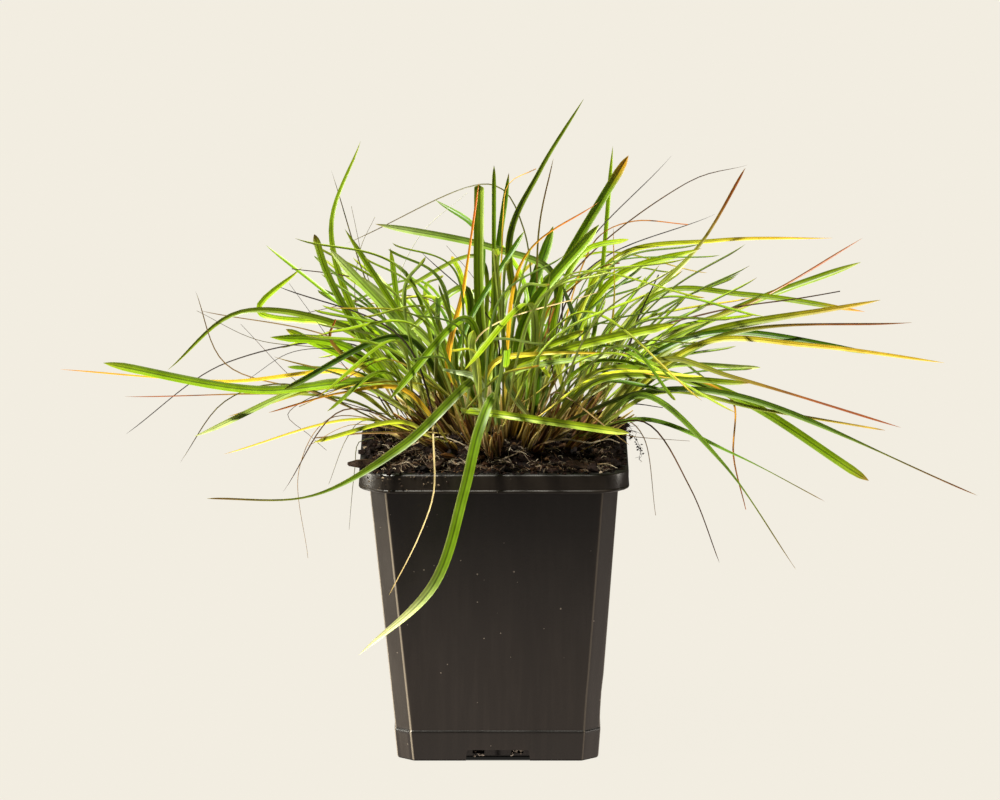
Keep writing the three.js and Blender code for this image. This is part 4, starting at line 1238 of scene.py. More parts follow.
def foot_cutters(shift):
    """A notch and two drain holes for each side of the foot."""
    cutters = []
    notch = (NOTCH_WIDTH, 4, 2 * NOTCH_HEIGHT)
    drain = (DRAIN_WIDTH, 3 * WALL, NOTCH_HEIGHT - DRAIN_SILL)
    for side in range(4):
        turn = side * math.pi / 2
        wall = (0, -BODY_FOOT_SIDE / 2 - 0.2, 0)
        cutters.append(add_cutter("notch", notch, wall, turn, shift, NOTCH_DRAFT))
        for place in DRAIN_PLACES:
            centre = (place, (WALL - WELL_SIDE) / 2, (NOTCH_HEIGHT + DRAIN_SILL) / 2)
            cutters.append(add_cutter("drain", drain, centre, turn, shift))
    return cutters


def cut_away(piece, cutters):
    """Cut the blocks out of the piece and clear them away."""
    for cutter in cutters:
        cut = piece.modifiers.new("cut", "BOOLEAN")
        cut.operation = "DIFFERENCE"
        cut.solver = "EXACT"
        cut.object = cutter
    bpy.context.view_layer.update()
    done = piece.evaluated_get(bpy.context.evaluated_depsgraph_get())
    data = bpy.data.meshes.new_from_object(done)
    piece.modifiers.clear()
    old = piece.data
    piece.data = data
    bpy.data.meshes.remove(old)
    for cutter in cutters:
        bpy.data.objects.remove(cutter)


def pot_shade(place, spot):
    """Painted highlights along the chamfers' edges, stronger on the left; painted shade on the wall's flats
    towards the rim, inside the foot and on the ledge; a dusty rim top; a darker foot band, a lighter skirt,
    and painted light on the left side.
    """
    x, y, z = place
    reach = max(abs(x), abs(y))
    outside = reach > body_side(z) / 2 - 0.75
    # Painted shade inside the foot
    if z < CHANNEL_HEIGHT + 1 and reach < WELL_SIDE / 2 + 3:
        return PAINTED_SHADE_INSIDE_FOOT
    if z > POT_HEIGHT - 0.3:
        return RIM_TOP_SHADE
    # Painted highlight along the chamfers' edges
    if outside and z < SKIRT_FOOT and spot in HIGHLIGHT_SPOTS:
        return PAINTED_HIGHLIGHT_LEFT if x < 0 else PAINTED_HIGHLIGHT_RIGHT
    if abs(z - FOOT_BAND_HEIGHT) < 0.4:
        return LEDGE_SHADE
    if z > SKIRT_FOOT:
        return SKIRT_SHADE
    if outside and z < FOOT_BAND_HEIGHT:
        return BAND_SHADE
    # Painted shade, darker towards the rim
    if outside and spot >= CORNER_SPOTS:
        return 1 - PAINTED_SHADE_UNDER_RIM * ramp(z, *UNDER_RIM_SHADE_LEVELS)
    # Painted light on the left side
    return PAINTED_LIGHT_LEFT if x < 0 else 1.0


def lean_of(z, lean):
    """The body stands a little askew under its rim."""
    return place_of(lean / MM * max(0.0, 1 - z / SKIRT_FOOT), 0, 0)


def dent_wall(mesh, depth):
    """A soft dent low in the right wall."""
    low, high = DENT_LEVELS
    for vert in mesh.verts:
        x, y, z = vert.co / MM
        if x > DENT_SIDE and low < z < high:
            fall = ((y - DENT_MIDDLE[0]) / DENT_SPREAD[0]) ** 2 + ((z - DENT_MIDDLE[1]) / DENT_SPREAD[1]) ** 2
            vert.co.x -= depth * math.exp(-fall)


def pot_mesh(settings):
    """A ring of corners is extruded from level to level, and its two ends are filled."""
    rings = pot_rings()
    mesh = new_mesh()
    tint = mesh.verts.layers.float_color["tint"]
    quarter = len(rings[0]) // 4

    def set_ring(verts, ring):
        for index, (vert, place) in enumerate(zip(verts, ring)):
            shade = pot_shade(place, index % quarter)
            vert[tint] = (shade, shade, shade, 1)
            vert.co = Vector(place + lean_of(place[2], settings.lean)) * MM

    bmesh.ops.create_circle(mesh, segments=len(rings[0]), radius=1)
    edges = list(mesh.edges)
    first = list(mesh.verts)
    set_ring(first, rings[0])
    order = first
    for ring in rings[1:]:
        edges, corners = extrude_rim(mesh, edges)
        fresh = set(corners)
        order = [next(e.other_vert(v) for e in v.link_edges if e.other_vert(v) in fresh) for v in order]
        set_ring(order, ring)
    bmesh.ops.contextual_create(mesh, geom=first)
    bmesh.ops.contextual_create(mesh, geom=order)
    bmesh.ops.recalc_face_normals(mesh, faces=mesh.faces)
    dent_wall(mesh, settings.dent)
    return mesh


# Soil mesh

SOIL_CELLS = 120
SPILL_CELLS = 118
SPILL_LIFT = 0.15
SPILL_LEAST = 0.2
PEAT_COLOURS = ("#090301", "#261208")
BED_COLOURS = ("#060201", "#1e0e07")
BROWN_CRUMBS = ("#4a3220", "#70543a")
PALE_CRUMBS = ("#8d7c68", "#c4b49c")
PALE_SHARE = 0.03
BROWN_SHARE = 0.1


def bank(x, y):
    """How far the peat banks up at the sides and the back, from 0 to 1."""
    return ramp(max(abs(x), y), BANK_FOOT, CRUMB_REACH) * ramp(y, SPILL_FRONT, BANK_FRONT)


def soil_height(x, y):
    """The same rise and hollow as the solid's."""
    away = math.hypot(x - CROWN[0], y - CROWN[1]) / MOUND_REACH
    mound = SOIL_MOUND * math.exp(-away * away)
    apart = (x - HOLLOW_PLACE[0]) ** 2 + (y - HOLLOW_PLACE[1]) ** 2
    hollow = HOLLOW_DEPTH * math.exp(-apart / HOLLOW_SPREAD)
    waves = 0.45 * math.sin(0.41 * x + 1.3) * math.cos(0.37 * y - 0.6)
    ripples = 0.35 * math.sin(0.93 * x - 0.71 * y) + 0.25 * math.sin(1.31 * y + 0.57 * x + 2)
    return SOIL_EDGE + BANK_HEIGHT * bank(x, y) + mound - hollow + waves + ripples


def heap(x, y):
    """Crumbs heaped round the feet of the crown."""
    away = math.hypot(x - CROWN[0], y - CROWN[1])
    return HEAP_HEIGHT * ramp(HEAP_REACH - away, 0, HEAP_SLOPE)


def roughness(x, y, fineness, layer):
    """Unevenness from -1 to 1 over the peat, another one in each layer."""
    return noise.noise(Vector((x * fineness, y * fineness, layer)))


def fine_height(x, y):
    """The solid's height with the heap and the peat's own roughness on it."""
    coarse = 0.8 * roughness(x, y, 0.22, 3.1)
    fine = 0.6 * roughness(x, y, 0.7, 8.4)
    grain = 0.3 * roughness(x, y, 1.9, 1.7)
    return soil_height(x, y) + heap(x, y) - 0.35 + coarse + fine + grain


def rise_over_rim(x, y):
    """How far the peat stands over the rim's height."""
    return max(SPILL_LEAST, fine_height(x, y) - POT_HEIGHT)


def peat_colour(draw):
    kind = draw(0, 1)
    if kind < PALE_SHARE:
        return between(PALE_CRUMBS, draw(0, 1))
    if kind < BROWN_SHARE:
        return between(BROWN_CRUMBS, draw(0, 1))
    return between(PEAT_COLOURS, draw(0, 1) ** 1.6)


def bed_colour(x, y, middle, contrast):
    """The patchy colour of the peat between its crumbs."""
    return (*between(BED_COLOURS, middle + contrast * roughness(x, y, 0.9, 5.0)), 1)


def soil_half(z):
    return body_side(z) / 2 - WALL - GAP


def soil_body():
    """A rough top, sides that follow the pot's wall, and the plug in the middle of its floor."""
    mesh = new_mesh()
    tint = mesh.verts.layers.float_color["tint"]
    half = soil_half(SOIL_EDGE)
    corner = 2 * half - (BODY_CORNER - 0.6)
    bmesh.ops.create_grid(mesh, x_segments=SOIL_CELLS, y_segments=SOIL_CELLS, size=half)
    for vert in mesh.verts:
        x, y = vert.co.x, vert.co.y
        over = max(0, abs(x) + abs(y) - corner)
        x -= math.copysign(over / 2, x)
        y -= math.copysign(over / 2, y)
        vert.co = Vector((x, y, fine_height(x, y))) * MM
        vert[tint] = bed_colour(x, y, 0.55, 0.9)
    edges = [edge for edge in mesh.edges if edge.is_boundary]
    plug = WELL_SIDE / 2 - WALL - GAP
    floor = CHANNEL_HEIGHT + WALL + GAP
    for reach, z in ((half, POT_HEIGHT - 6), (soil_half(6), floor), (plug, floor), (plug, WALL + GAP)):
        edges, corners = extrude_rim(mesh, edges)
        widest = max(abs(vert.co.x) for vert in corners)
        for vert in corners:
            vert.co.x *= reach * MM / widest
            vert.co.y *= reach * MM / widest
            vert.co.z = z * MM
    bmesh.ops.contextual_create(mesh, geom=edges)
    bmesh.ops.recalc_face_normals(mesh, faces=mesh.faces)
    return mesh


def spill_share(x, y):
    """How far a place lies inside the ragged edge of the spilt peat, 0 at the edge."""
    half = SPILL_HALF - 0.4
    corner = RIM_CORNER - 1.5
    over_x = max(0, abs(x) - half + corner)
    over_y = max(0, y - half + corner)
    out = max(abs(x), y) if min(over_x, over_y) <= 0 else math.hypot(over_x, over_y) + half - corner
    ragged = 2.4 * roughness(x, y, 0.35, 9.0) + 1.2 * roughness(x, y, 1, 4.0)
    return min((half - 0.8 - out + ragged) / 2.5, (y - SPILL_FRONT + 2 * ragged) / 4)


def soil_spill():
    """Peat spilt over the rim at the sides and the back: a ragged sheet drawn down to the rim."""
    mesh = new_mesh()
    tint = mesh.verts.layers.float_color["tint"]
    bmesh.ops.create_grid(mesh, x_segments=SPILL_CELLS, y_segments=SPILL_CELLS, size=SPILL_HALF)
    inner = soil_half(POT_HEIGHT) - 1.5
    gone = []
    for face in mesh.faces:
        x, y, _ = face.calc_center_median()
        if max(abs(x), y) < inner or spill_share(x, y) <= 0:
            gone.append(face)
    bmesh.ops.delete(mesh, geom=gone, context="FACES")
    made = bmesh.ops.extrude_face_region(mesh, geom=list(mesh.faces))["geom"]
    upper = {part for part in made if isinstance(part, bmesh.types.BMVert)}
    for vert in mesh.verts:
        x, y = vert.co.x, vert.co.y
        z = POT_HEIGHT + 0.05
        if vert in upper:
            z = POT_HEIGHT + SPILL_LIFT + rise_over_rim(x, y) * ramp(spill_share(x, y), 0, 1)
        vert[tint] = bed_colour(x, y, 0.5, 0.8)
        vert.co = Vector((x, y, z)) * MM
    bmesh.ops.recalc_face_normals(mesh, faces=mesh.faces)
    return mesh


# Crumbs and bark chips

CRUMB_CREASE = 35
UNDER_BUNCH = -1.2
RIM_TOP_CRUMBS = 150
RIM_TOP_HALF = 40
RIM_TOP_DEPTH = (40.2, 44.4)
RIM_FACE_CRUMBS = 45
SPILT_CRUMBS = 700
DRAIN_CRUMBS = 12
DRAIN_BULGE = 1.2
FACE_DUST = ("#2c2018", "#a8967e")
DRAIN_DUST = ("#4c4238", "#d6cdbf")
SMALL_CHIPS = 16
BARK_COLOUR = "#3b2b20"


def noise_place(draw):
    """A place in the noise, far from the other parts' ones."""
    return Vector((draw(0, 90), draw(0, 90), draw(0, 90)))


def add_crumb(mesh, place, size, colour, draw, rounds=1):
    """A lump of peat with its own uneven shape."""
    tint = mesh.verts.layers.float_color["tint"]
    made = bmesh.ops.create_icosphere(mesh, subdivisions=rounds, radius=1.0)["verts"]
    stretch = Matrix.Diagonal(Vector((draw(0.7, 1.3), draw(0.7, 1.2), draw(0.5, 0.9)))).to_4x4()
    turn = Matrix.Rotation(draw(0, 6.28), 4, "Z") @ Matrix.Rotation(draw(-0.6, 0.6), 4, "X")
    seed = noise_place(draw)
    for vert in made:
        vert.co *= 1 + 0.55 * noise.noise(vert.co * 1.4 + seed)
        shade = 1 + 0.5 * noise.noise(vert.co * 2.3 + seed)
        vert[tint] = (*(colour * shade), 1)
        vert.co = (turn @ stretch @ (vert.co * size) + Vector(place)) * MM


def crumb_size(draw, least, more, power):
    """Many small crumbs and few large ones."""
    return least + more * draw(0, 1) ** power


def clear_of_bunches(x, y, margin):
    return all(math.hypot(x - bunch.base[0], y - bunch.base[1]) >= bunch.radius + margin for bunch in tuft)


def strew_soil(pile, count, draw):
    """Loose crumbs all over the soil, but not under the bunches."""
    half = soil_half(POT_HEIGHT)
    for _ in range(count):
        x = draw(-1, 1) * (half - 0.4)
        y = draw(-1, 1) * (half - 0.4)
        size = crumb_size(draw, 0.3, 1.2, 3.5)
        if abs(x) + abs(y) > 2 * half - BODY_CORNER or not clear_of_bunches(x, y, UNDER_BUNCH):
            continue
        place = (x, y, fine_height(x, y) + draw(-0.1, 0.45) * size)
        add_crumb(pile.open(), place, size, peat_colour(draw), draw)


def strew_rim(pile, draw):
    """A few lumps that can be told apart, then dust and crumbs on the rim's top and down its face."""
    for x, y, size in RIM_CRUMBS:
        place = (x, y, max(soil_height(x, y) + 0.15 * size, POT_HEIGHT + 0.4 * size))
        add_crumb(pile.open(), place, size, peat_colour(draw), draw, 2)
    for _ in range(RIM_TOP_CRUMBS):
        x = draw(-RIM_TOP_HALF, RIM_TOP_HALF)
        size = crumb_size(draw, 0.25, 0.7, 2)
        place = (x, -draw(*RIM_TOP_DEPTH), POT_HEIGHT + 0.3 * size)
        add_crumb(pile.open(), place, size, peat_colour(draw), draw)
    for _ in range(RIM_FACE_CRUMBS):
        x = -14 - 28 * draw(0, 1)
        size = crumb_size(draw, 0.15, 0.4, 2)
        place = (x, -RIM_SIDE / 2, POT_HEIGHT - 0.6 - 5 * draw(0, 1) ** 2)
        add_crumb(pile.open(), place, size, between(FACE_DUST, draw(0, 1) ** 2), draw)


def strew_spill(pile, draw):
    """Crumbs on the spilt peat and just past its ragged edge."""
    for _ in range(SPILT_CRUMBS):
        x = draw(-SPILL_HALF, SPILL_HALF)
        y = draw(SPILL_FRONT - 3, SPILL_HALF)
        share = spill_share(x, y)
        if max(abs(x), y) < CRUMB_REACH or share < -0.5:
            continue
        size = crumb_size(draw, 0.35, 1.3, 2.5)
        z = POT_HEIGHT + rise_over_rim(x, y) * ramp(share, 0, 1) + 0.35 * size
        add_crumb(pile.open(), (x, y, z), size, peat_colour(draw), draw)


def fill_drains(pile, draw):
    """Peat that bulges out of the drain holes."""
    for side in range(4):
        turn = Matrix.Rotation(side * math.pi / 2, 3, "Z")
        for place in DRAIN_PLACES:
            for _ in range(DRAIN_CRUMBS):
                x = place + draw(-1.8, 1.8)
                y = -WELL_SIDE / 2 - draw(0, DRAIN_BULGE)
                spot = turn @ Vector((x, y, draw(0.5, 3.2)))
                spot.x += POT_LEAN
                colour = between(DRAIN_DUST, draw(0, 1))
                add_crumb(pile.open(), spot, draw(0.25, 0.65), colour, draw)


def crumb_piece(settings, material):
    pile = Pile()
    draw = seeded_draws(CRUMB_SEED)
    strew_soil(pile, settings.crumbs, draw)
    strew_rim(pile, draw)
    strew_spill(pile, draw)
    fill_drains(pile, draw)
    return finish_piece(pile.pour(), "peat_crumbs", [material], sharp=CRUMB_CREASE)


def add_chip(pile, place, size, turn, lift, colour, draw):
    """A flake of bark: a block with worn, uneven edges, alone in its batch."""
    pile.pour()
    mesh = pile.open()
    tint = mesh.verts.layers.float_color["tint"]
    bmesh.ops.create_cube(mesh, size=1.0)
    bmesh.ops.subdivide_edges(mesh, edges=mesh.edges, cuts=3, use_grid_fill=True)
    seed = noise_place(draw)
    spin = Matrix.Rotation(turn, 4, "Z") @ Matrix.Rotation(-lift, 4, "Y")
    for vert in mesh.verts:
        x, y, z = vert.co
        taper = 1 - 0.75 * (2 * abs(x)) ** 2.5
        local = Vector((x * size[0], y * size[1] * taper, z * size[2] * (0.35 + taper)))
        local += noise.noise_vector(local * 0.5 + seed) * 0.75
        streak = 1 + 0.6 * noise.noise(Vector((local.x * 0.2, local.y * 2.2, local.z)) + seed)
        vert[tint] = (*(colour * streak), 1)
        vert.co = (spin @ local + Vector(place)) * MM


def chip_piece(material):
    """The chips that can be told apart, then small ones."""
    pile = Pile()
    draw = seeded_draws(CHIP_SEED)
    noise.seed_set(CHIP_SEED)
    bark = linear(BARK_COLOUR)
    for place, length, turn, lift in BARK_CHIPS:
        size = (length, *CHIP_SIZE)
        add_chip(pile, place, size, math.radians(turn), math.radians(lift), bark * draw(0.7, 1), draw)
    for _ in range(SMALL_CHIPS):
        x, y = draw(-36, 36), draw(-38, 36)
        if clear_of_bunches(x, y, 3):
            size = (draw(2.5, 5.5), draw(0.9, 2.0), draw(0.4, 0.9))
            place = (x, y, fine_height(x, y) + 0.5)
            add_chip(pile, place, size, draw(0, 3.1), draw(-0.4, 0.4), bark * draw(0.5, 1.3), draw)
    return finish_piece(pile.pour(), "bark_chips", [material], sharp=CRUMB_CREASE)


# Fibres and roots

FIBRE_STEP = 1.6
FIBRE_TIP = 0.08
LONG_FIBRES = ("#5c4029", "#d9cbb0")
SHORT_FIBRES = ("#5b4430", "#cdbfa4")
PALE_ROOT = ("#a8895e", "#ddd0b2")
DARK_ROOT = ("#24160c", "#5a3c22")
WISP_COLOUR = "#2e2018"
TANGLE_ROOTS = 34
WISP_CRUMBS = 24
WISP_HAIRS = 9

# Pale roots that can be told apart: thickness, then places as across, depth and height over the peat
PALE_ROOTS = [
    (0.95, [13, -21, 0.6], [18, -23, 4.6], [24, -24, 6.6], [32, -24, 6.4], [38, -22, 5.0], [42, -18, 3.2]),
    (0.5, [-5, -12, 0.8], [-4, -20, 0.9], [-2, -27, 0.6], [4, -31, 0.5], [8, -30, 0.4]),
    (0.5, [22, -35, 0.3], [24, -33, 1.0], [25, -34, 0.8], [28, -31, 0.5]),
    (0.7, [-40, -24, 0.6], [-30, -12, 2.2], [-18, -16, 2.6], [-8, -19, 0.4]),
    (0.6, [-22, -30, 0.4], [-19, -26, 1.5], [-17, -29, 0.4]),
    (0.45, [34, -30, 0.5], [38, -33, 1.2], [41, -36, 0.4]),
    (0.45, [10, -22, 0.3], [5, -28, 1.2], [-1, -31, 0.3]),
]
# The wisp that hangs over the rim at the right
ROOT_WISP = [place_of(45, 24, 101), place_of(48, 20, 99.5), place_of(49.5, 18, 96), place_of(49, 17, 93)]


def fibre_path(x, y, length, draw):
    """A root hair that wanders over the peat."""
    turn = draw(0, 2 * math.pi)
    steps = max(4, rounded(length / FIBRE_STEP))
    lift = draw(0.1, 0.5)
    places = []
    for step in range(steps + 1):
        arch = 0.9 * math.sin(3 * step / steps) * draw(0.2, 1)
        places.append(place_of(x, y, fine_height(x, y) + lift + arch))
        turn += draw(-0.55, 0.55)
        x += math.cos(turn) * length / steps
        y += math.sin(turn) * length / steps
    return places


def strew_fibres(pile, count, lengths, darkness, colours, thickness, draw):
    """Root hairs that stay within the rim, the more of them dark the higher the darkness."""
    limit = soil_half(POT_HEIGHT) + 1.5
    for _ in range(count):
        x, y = draw(-39, 39), draw(-40, 38)
        path = fibre_path(x, y, draw(*lengths), draw)
        if max(max(abs(place[0]), abs(place[1])) for place in path) > limit:
            continue
        colour = between(colours, draw(0, 1) ** darkness)
        add_fibre(pile.open(), path, draw(*thickness), FIBRE_TIP, colour, colour * 1.1)


def add_pale_roots(pile):
    root, tip = PALE_ROOT
    for thick, *spots in PALE_ROOTS:
        path = [place_of(x, y, fine_height(x, y) + lift) for x, y, lift in spots]
        add_fibre(pile.open(), smooth_path(path, 1.2), thick, 0.4 * thick, linear(root), linear(tip), 5)


def add_root_tangle(pile, draw):
    """Dark roots that hang over the rim at the back right."""
    for _ in range(TANGLE_ROOTS):
        start = place_of(draw(36, 42), draw(14, 34), 101)
        middle = start + place_of(draw(1, 5), draw(-3, 3), draw(0.8, 3.0))
        end = middle + place_of(draw(0.5, 4), draw(-5, 5), draw(-3.5, 0.5))
        end[2] = max(end[2], POT_HEIGHT + 0.4)
        colour = between(DARK_ROOT, draw(0, 1))
        add_fibre(pile.open(), smooth_path([start, middle, end], 1.6), draw(0.2, 0.45), 0.1, colour, colour)


def add_root_wisp(pile, draw):
    """A root that hangs down over the rim, with crumbs and hairs held by it."""
    dark = linear(WISP_COLOUR)
    stretches = len(ROOT_WISP) - 1
    add_fibre(pile.open(), smooth_path(ROOT_WISP, 1.5), 0.22, 0.12, dark, dark)
    for _ in range(WISP_CRUMBS):
        step = pick(draw, stretches)
        spot = blend(ROOT_WISP[step], ROOT_WISP[step + 1], draw(0, 1))
        spot = spot + place_of(draw(-1.1, 1.1), draw(-1.1, 1.1), draw(-0.8, 0.8))
        add_crumb(pile.open(), spot, draw(0.15, 0.6), dark * draw(0.5, 1.2), draw)
    for _ in range(WISP_HAIRS):
        spot = ROOT_WISP[1 + pick(draw, stretches)]
        end = spot + place_of(draw(-2.5, 2.5), draw(-2, 2), draw(-2.5, 2))
        middle = (spot + end) / 2 + place_of(draw(-1, 1), draw(-1, 1), draw(-1, 1))
        add_fibre(pile.open(), smooth_path([spot, middle, end], 1.0), 0.2, 0.1, dark, dark)


def fibre_piece(settings, material):
    pile = Pile()
    draw = seeded_draws(FIBRE_SEED)
    strew_fibres(pile, settings.fibres, (3, 15), 2.0, LONG_FIBRES, (0.14, 0.36), draw)
    strew_fibres(pile, 2 * settings.fibres, (1, 3.5), 2.2, SHORT_FIBRES, (0.14, 0.4), draw)
    add_pale_roots(pile)
    add_root_tangle(pile, draw)
    add_root_wisp(pile, draw)
    return finish_piece(pile.pour(), "root_hairs", [material])


# Shader nodes

FLECK_SCALE = 900.0
FLECK_RADIUS = (0.05, 0.26)
MIDRIB_REACH = (0.015, 0.055)


def add_node(tree, kind, inputs, **values):
    """A node of this kind with its settings, and constants or links on its inputs."""
    node = tree.nodes.new(kind)
    for name, value in values.items():
        setattr(node, name, value)
    for name, value in inputs.items():
        set_input(tree, node, name, value)
    return node


def set_input(tree, node, name, value):
    if isinstance(value, bpy.types.NodeSocket):
        tree.links.new(value, node.inputs[name])
    else:
        node.inputs[name].default_value = value


def maths(tree, operation, *values):
    """The result of one operation on numbers, which may change over the surface."""
    return add_node(tree, "ShaderNodeMath", dict(enumerate(values)), operation=operation).outputs[0]


def mapped(tree, value, low=0.0, high=1.0, bottom=0.0, top=1.0):
    """A value taken from one range to another, and held at its ends."""
    inputs = {"Value": value, "From Min": low, "From Max": high, "To Min": bottom, "To Max": top}
    return add_node(tree, "ShaderNodeMapRange", inputs).outputs["Result"]


def mixed(tree, share, first, second):
    inputs = {"Factor": share, "A": first, "B": second}
    return add_node(tree, "ShaderNodeMix", inputs, data_type="RGBA").outputs["Result"]


def scaled(tree, colour, share):
    return add_node(tree, "ShaderNodeVectorMath", {0: colour, "Scale": share}, operation="SCALE").outputs[0]


def clouds(tree, place, scale, detail, roughness=0.5):
    """Soft noise from 0 to 1."""
    inputs = {"Vector": place, "Scale": scale, "Detail": detail, "Roughness": roughness}
    return add_node(tree, "ShaderNodeTexNoise", inputs).outputs["Fac"]


def relief(tree, height, strength, distance):
    inputs = {"Height": height, "Strength": strength, "Distance": distance}
    return add_node(tree, "ShaderNodeBump", inputs).outputs["Normal"]


def object_place(tree):
    return add_node(tree, "ShaderNodeTexCoord", {}).outputs["Object"]


def own_tint(tree, output):
    return add_node(tree, "ShaderNodeAttribute", {}, attribute_name="tint").outputs[output]


def new_group(name, inputs, outputs):
    """An empty node group with its named sockets, what comes in and the node that puts out."""
    group = bpy.data.node_groups.new(name, "ShaderNodeTree")
    for label, kind, default in inputs:
        group.interface.new_socket(label, in_out="INPUT", socket_type=kind).default_value = default
    for label in outputs:
        group.interface.new_socket(label, in_out="OUTPUT", socket_type="NodeSocketFloat")
    return group, group.nodes.new("NodeGroupInput").outputs, group.nodes.new("NodeGroupOutput")


def fleck_group(name):
    """Light flecks of dust, sparse and of several sizes, as a mask."""
    group, source, result = new_group(
        name,
        [("Position", "NodeSocketVector", (0, 0, 0)), ("Density", "NodeSocketFloat", 0.1),
         ("Scale", "NodeSocketFloat", 600)],
        ["Mask"])
    inputs = {"Vector": source["Position"], "Scale": source["Scale"]}
    cells = add_node(group, "ShaderNodeTexVoronoi", inputs).outputs
    chance = add_node(group, "ShaderNodeSeparateColor", {"Color": cells["Color"]}).outputs
    radius = mapped(group, chance["Green"], 0.0, 1.0, *FLECK_RADIUS)
    dot = maths(group, "LESS_THAN", cells["Distance"], radius)
    rare = maths(group, "LESS_THAN", chance["Red"], source["Density"])
    set_input(group, result, "Mask", maths(group, "MULTIPLY", dot, rare))
    return group


def vein_group(name):
    """Fine lengthwise veins with a midrib, from a blade's own across coordinate."""
    group, source, result = new_group(
        name,
        [("Across", "NodeSocketFloat", 0.5), ("Count", "NodeSocketFloat", 14)],
        ["Veins", "Midrib"])
    turns = maths(group, "MULTIPLY", source["Across"], source["Count"])
    wave = maths(group, "COSINE", maths(group, "MULTIPLY", turns, 2 * math.pi))
    quarter = maths(group, "PINGPONG", source["Across"], 0.5)
    away = maths(group, "ABSOLUTE", maths(group, "SUBTRACT", quarter, 0.25))
    set_input(group, result, "Veins", mapped(group, wave, -1.0, 1.0))
    set_input(group, result, "Midrib", mapped(group, away, *MIDRIB_REACH, 1.0, 0.0))
    return group


def made_once(store, make, name, *values):
    """What was made under this name before, or else what is made now."""
    return store.get(name) or make(name, *values)


def dust(tree, place, density):
    flecks = made_once(bpy.data.node_groups, fleck_group, "dust_flecks")
    inputs = {"Position": place, "Density": density, "Scale": FLECK_SCALE}
    return add_node(tree, "ShaderNodeGroup", inputs, node_tree=flecks).outputs["Mask"]


# Materials

DUST_COLOUR = (0.5, 0.43, 0.35, 1)
FILM_COLOUR = (0.11, 0.09, 0.075, 1)
# Colour mixed into the plastic for its painted highlights and painted light
PAINTED_LIGHT_COLOUR = (0.30, 0.26, 0.20, 1)
PEAT_FLECKS = (0.30, 0.20, 0.11, 1)
LEAF_GLOW = (0.9, 1.0, 0.2)
LEAF_GLOW_DEPTH = 0.0008
# Painted shade in the channel along a blade's midrib
PAINTED_GROOVE_SHADE = -0.42


def new_material(name):
    material = bpy.data.materials.new(name)
    material.use_nodes = True
    tree = material.node_tree
    return material, tree, tree.nodes["Principled BSDF"]


def set_skin(tree, shader, colour, rough, normal, specular):
    """Link what changes over the surface to the shader, and set how strongly it mirrors."""
    set_input(tree, shader, "Base Color", colour)
    set_input(tree, shader, "Roughness", rough)
    set_input(tree, shader, "Normal", normal)
    set_input(tree, shader, "Specular IOR Level", specular)


def plastic_material(settings):
    """Thin moulded plastic: satin, faintly drawn downwards, dusty and flecked, with painted light and shade
    from its tint.
    """
    material, tree, shader = new_material("pot_plastic")
    place = object_place(tree)
    shade_and_dust = own_tint(tree, "Fac")
    cloud = clouds(tree, place, 28.0, 4.0)
    drawn = add_node(tree, "ShaderNodeMapping", {"Vector": place, "Scale": (420.0, 420.0, 9.0)}).outputs[0]
    streak = clouds(tree, drawn, 1.0, 3.0)
    grain = clouds(tree, place, 2600.0, 2.0)
    dark, light = [(*(part * share for part in settings.colour), 1) for share in (0.8, 1.3)]
    film = mapped(tree, streak, 0.45, 0.8, 0.0, 0.07)
    dusty = mixed(tree, film, mixed(tree, cloud, dark, light), FILM_COLOUR)
    flecked = maths(tree, "MULTIPLY", dust(tree, place, 0.022), settings.speckle)
    # The tint darkens the plastic with painted shade and, above 1, mixes in painted highlights and painted
    # light; low tints also roughen the skin
    shaded = scaled(tree, mixed(tree, flecked, dusty, DUST_COLOUR), shade_and_dust)
    colour = mixed(tree, mapped(tree, shade_and_dust, 1.0, 2.0), shaded, PAINTED_LIGHT_COLOUR)
    satin = mapped(tree, cloud, 0.3, 0.7, settings.sheen - 0.06, settings.sheen + 0.1)
    rough = maths(tree, "ADD", satin, mapped(tree, shade_and_dust, 0.1, 0.35, 0.5, 0.0))
    height = maths(tree, "MULTIPLY_ADD", streak, 0.6, grain)
    set_skin(tree, shader, colour, rough, relief(tree, height, 0.12, 0.0004), 0.42)
    return material


def peat_material():
    """Moist peat: near black, matt, with wet glints and a crumbly skin."""
    material, tree, shader = new_material("moist_peat")
    place = object_place(tree)
    grain = clouds(tree, place, 1400.0, 6.0, 0.7)
    wet = clouds(tree, place, 420.0, 3.0)
    shaded = scaled(tree, own_tint(tree, "Color"), mapped(tree, grain, 0.3, 0.7, 0.3, 1.3))
    colour = mixed(tree, dust(tree, place, 0.035), shaded, PEAT_FLECKS)
    rough = mapped(tree, wet, 0.35, 0.65, 0.42, 0.95)
    set_skin(tree, shader, colour, rough, relief(tree, grain, 0.9, 0.0006), 0.12)
    return material


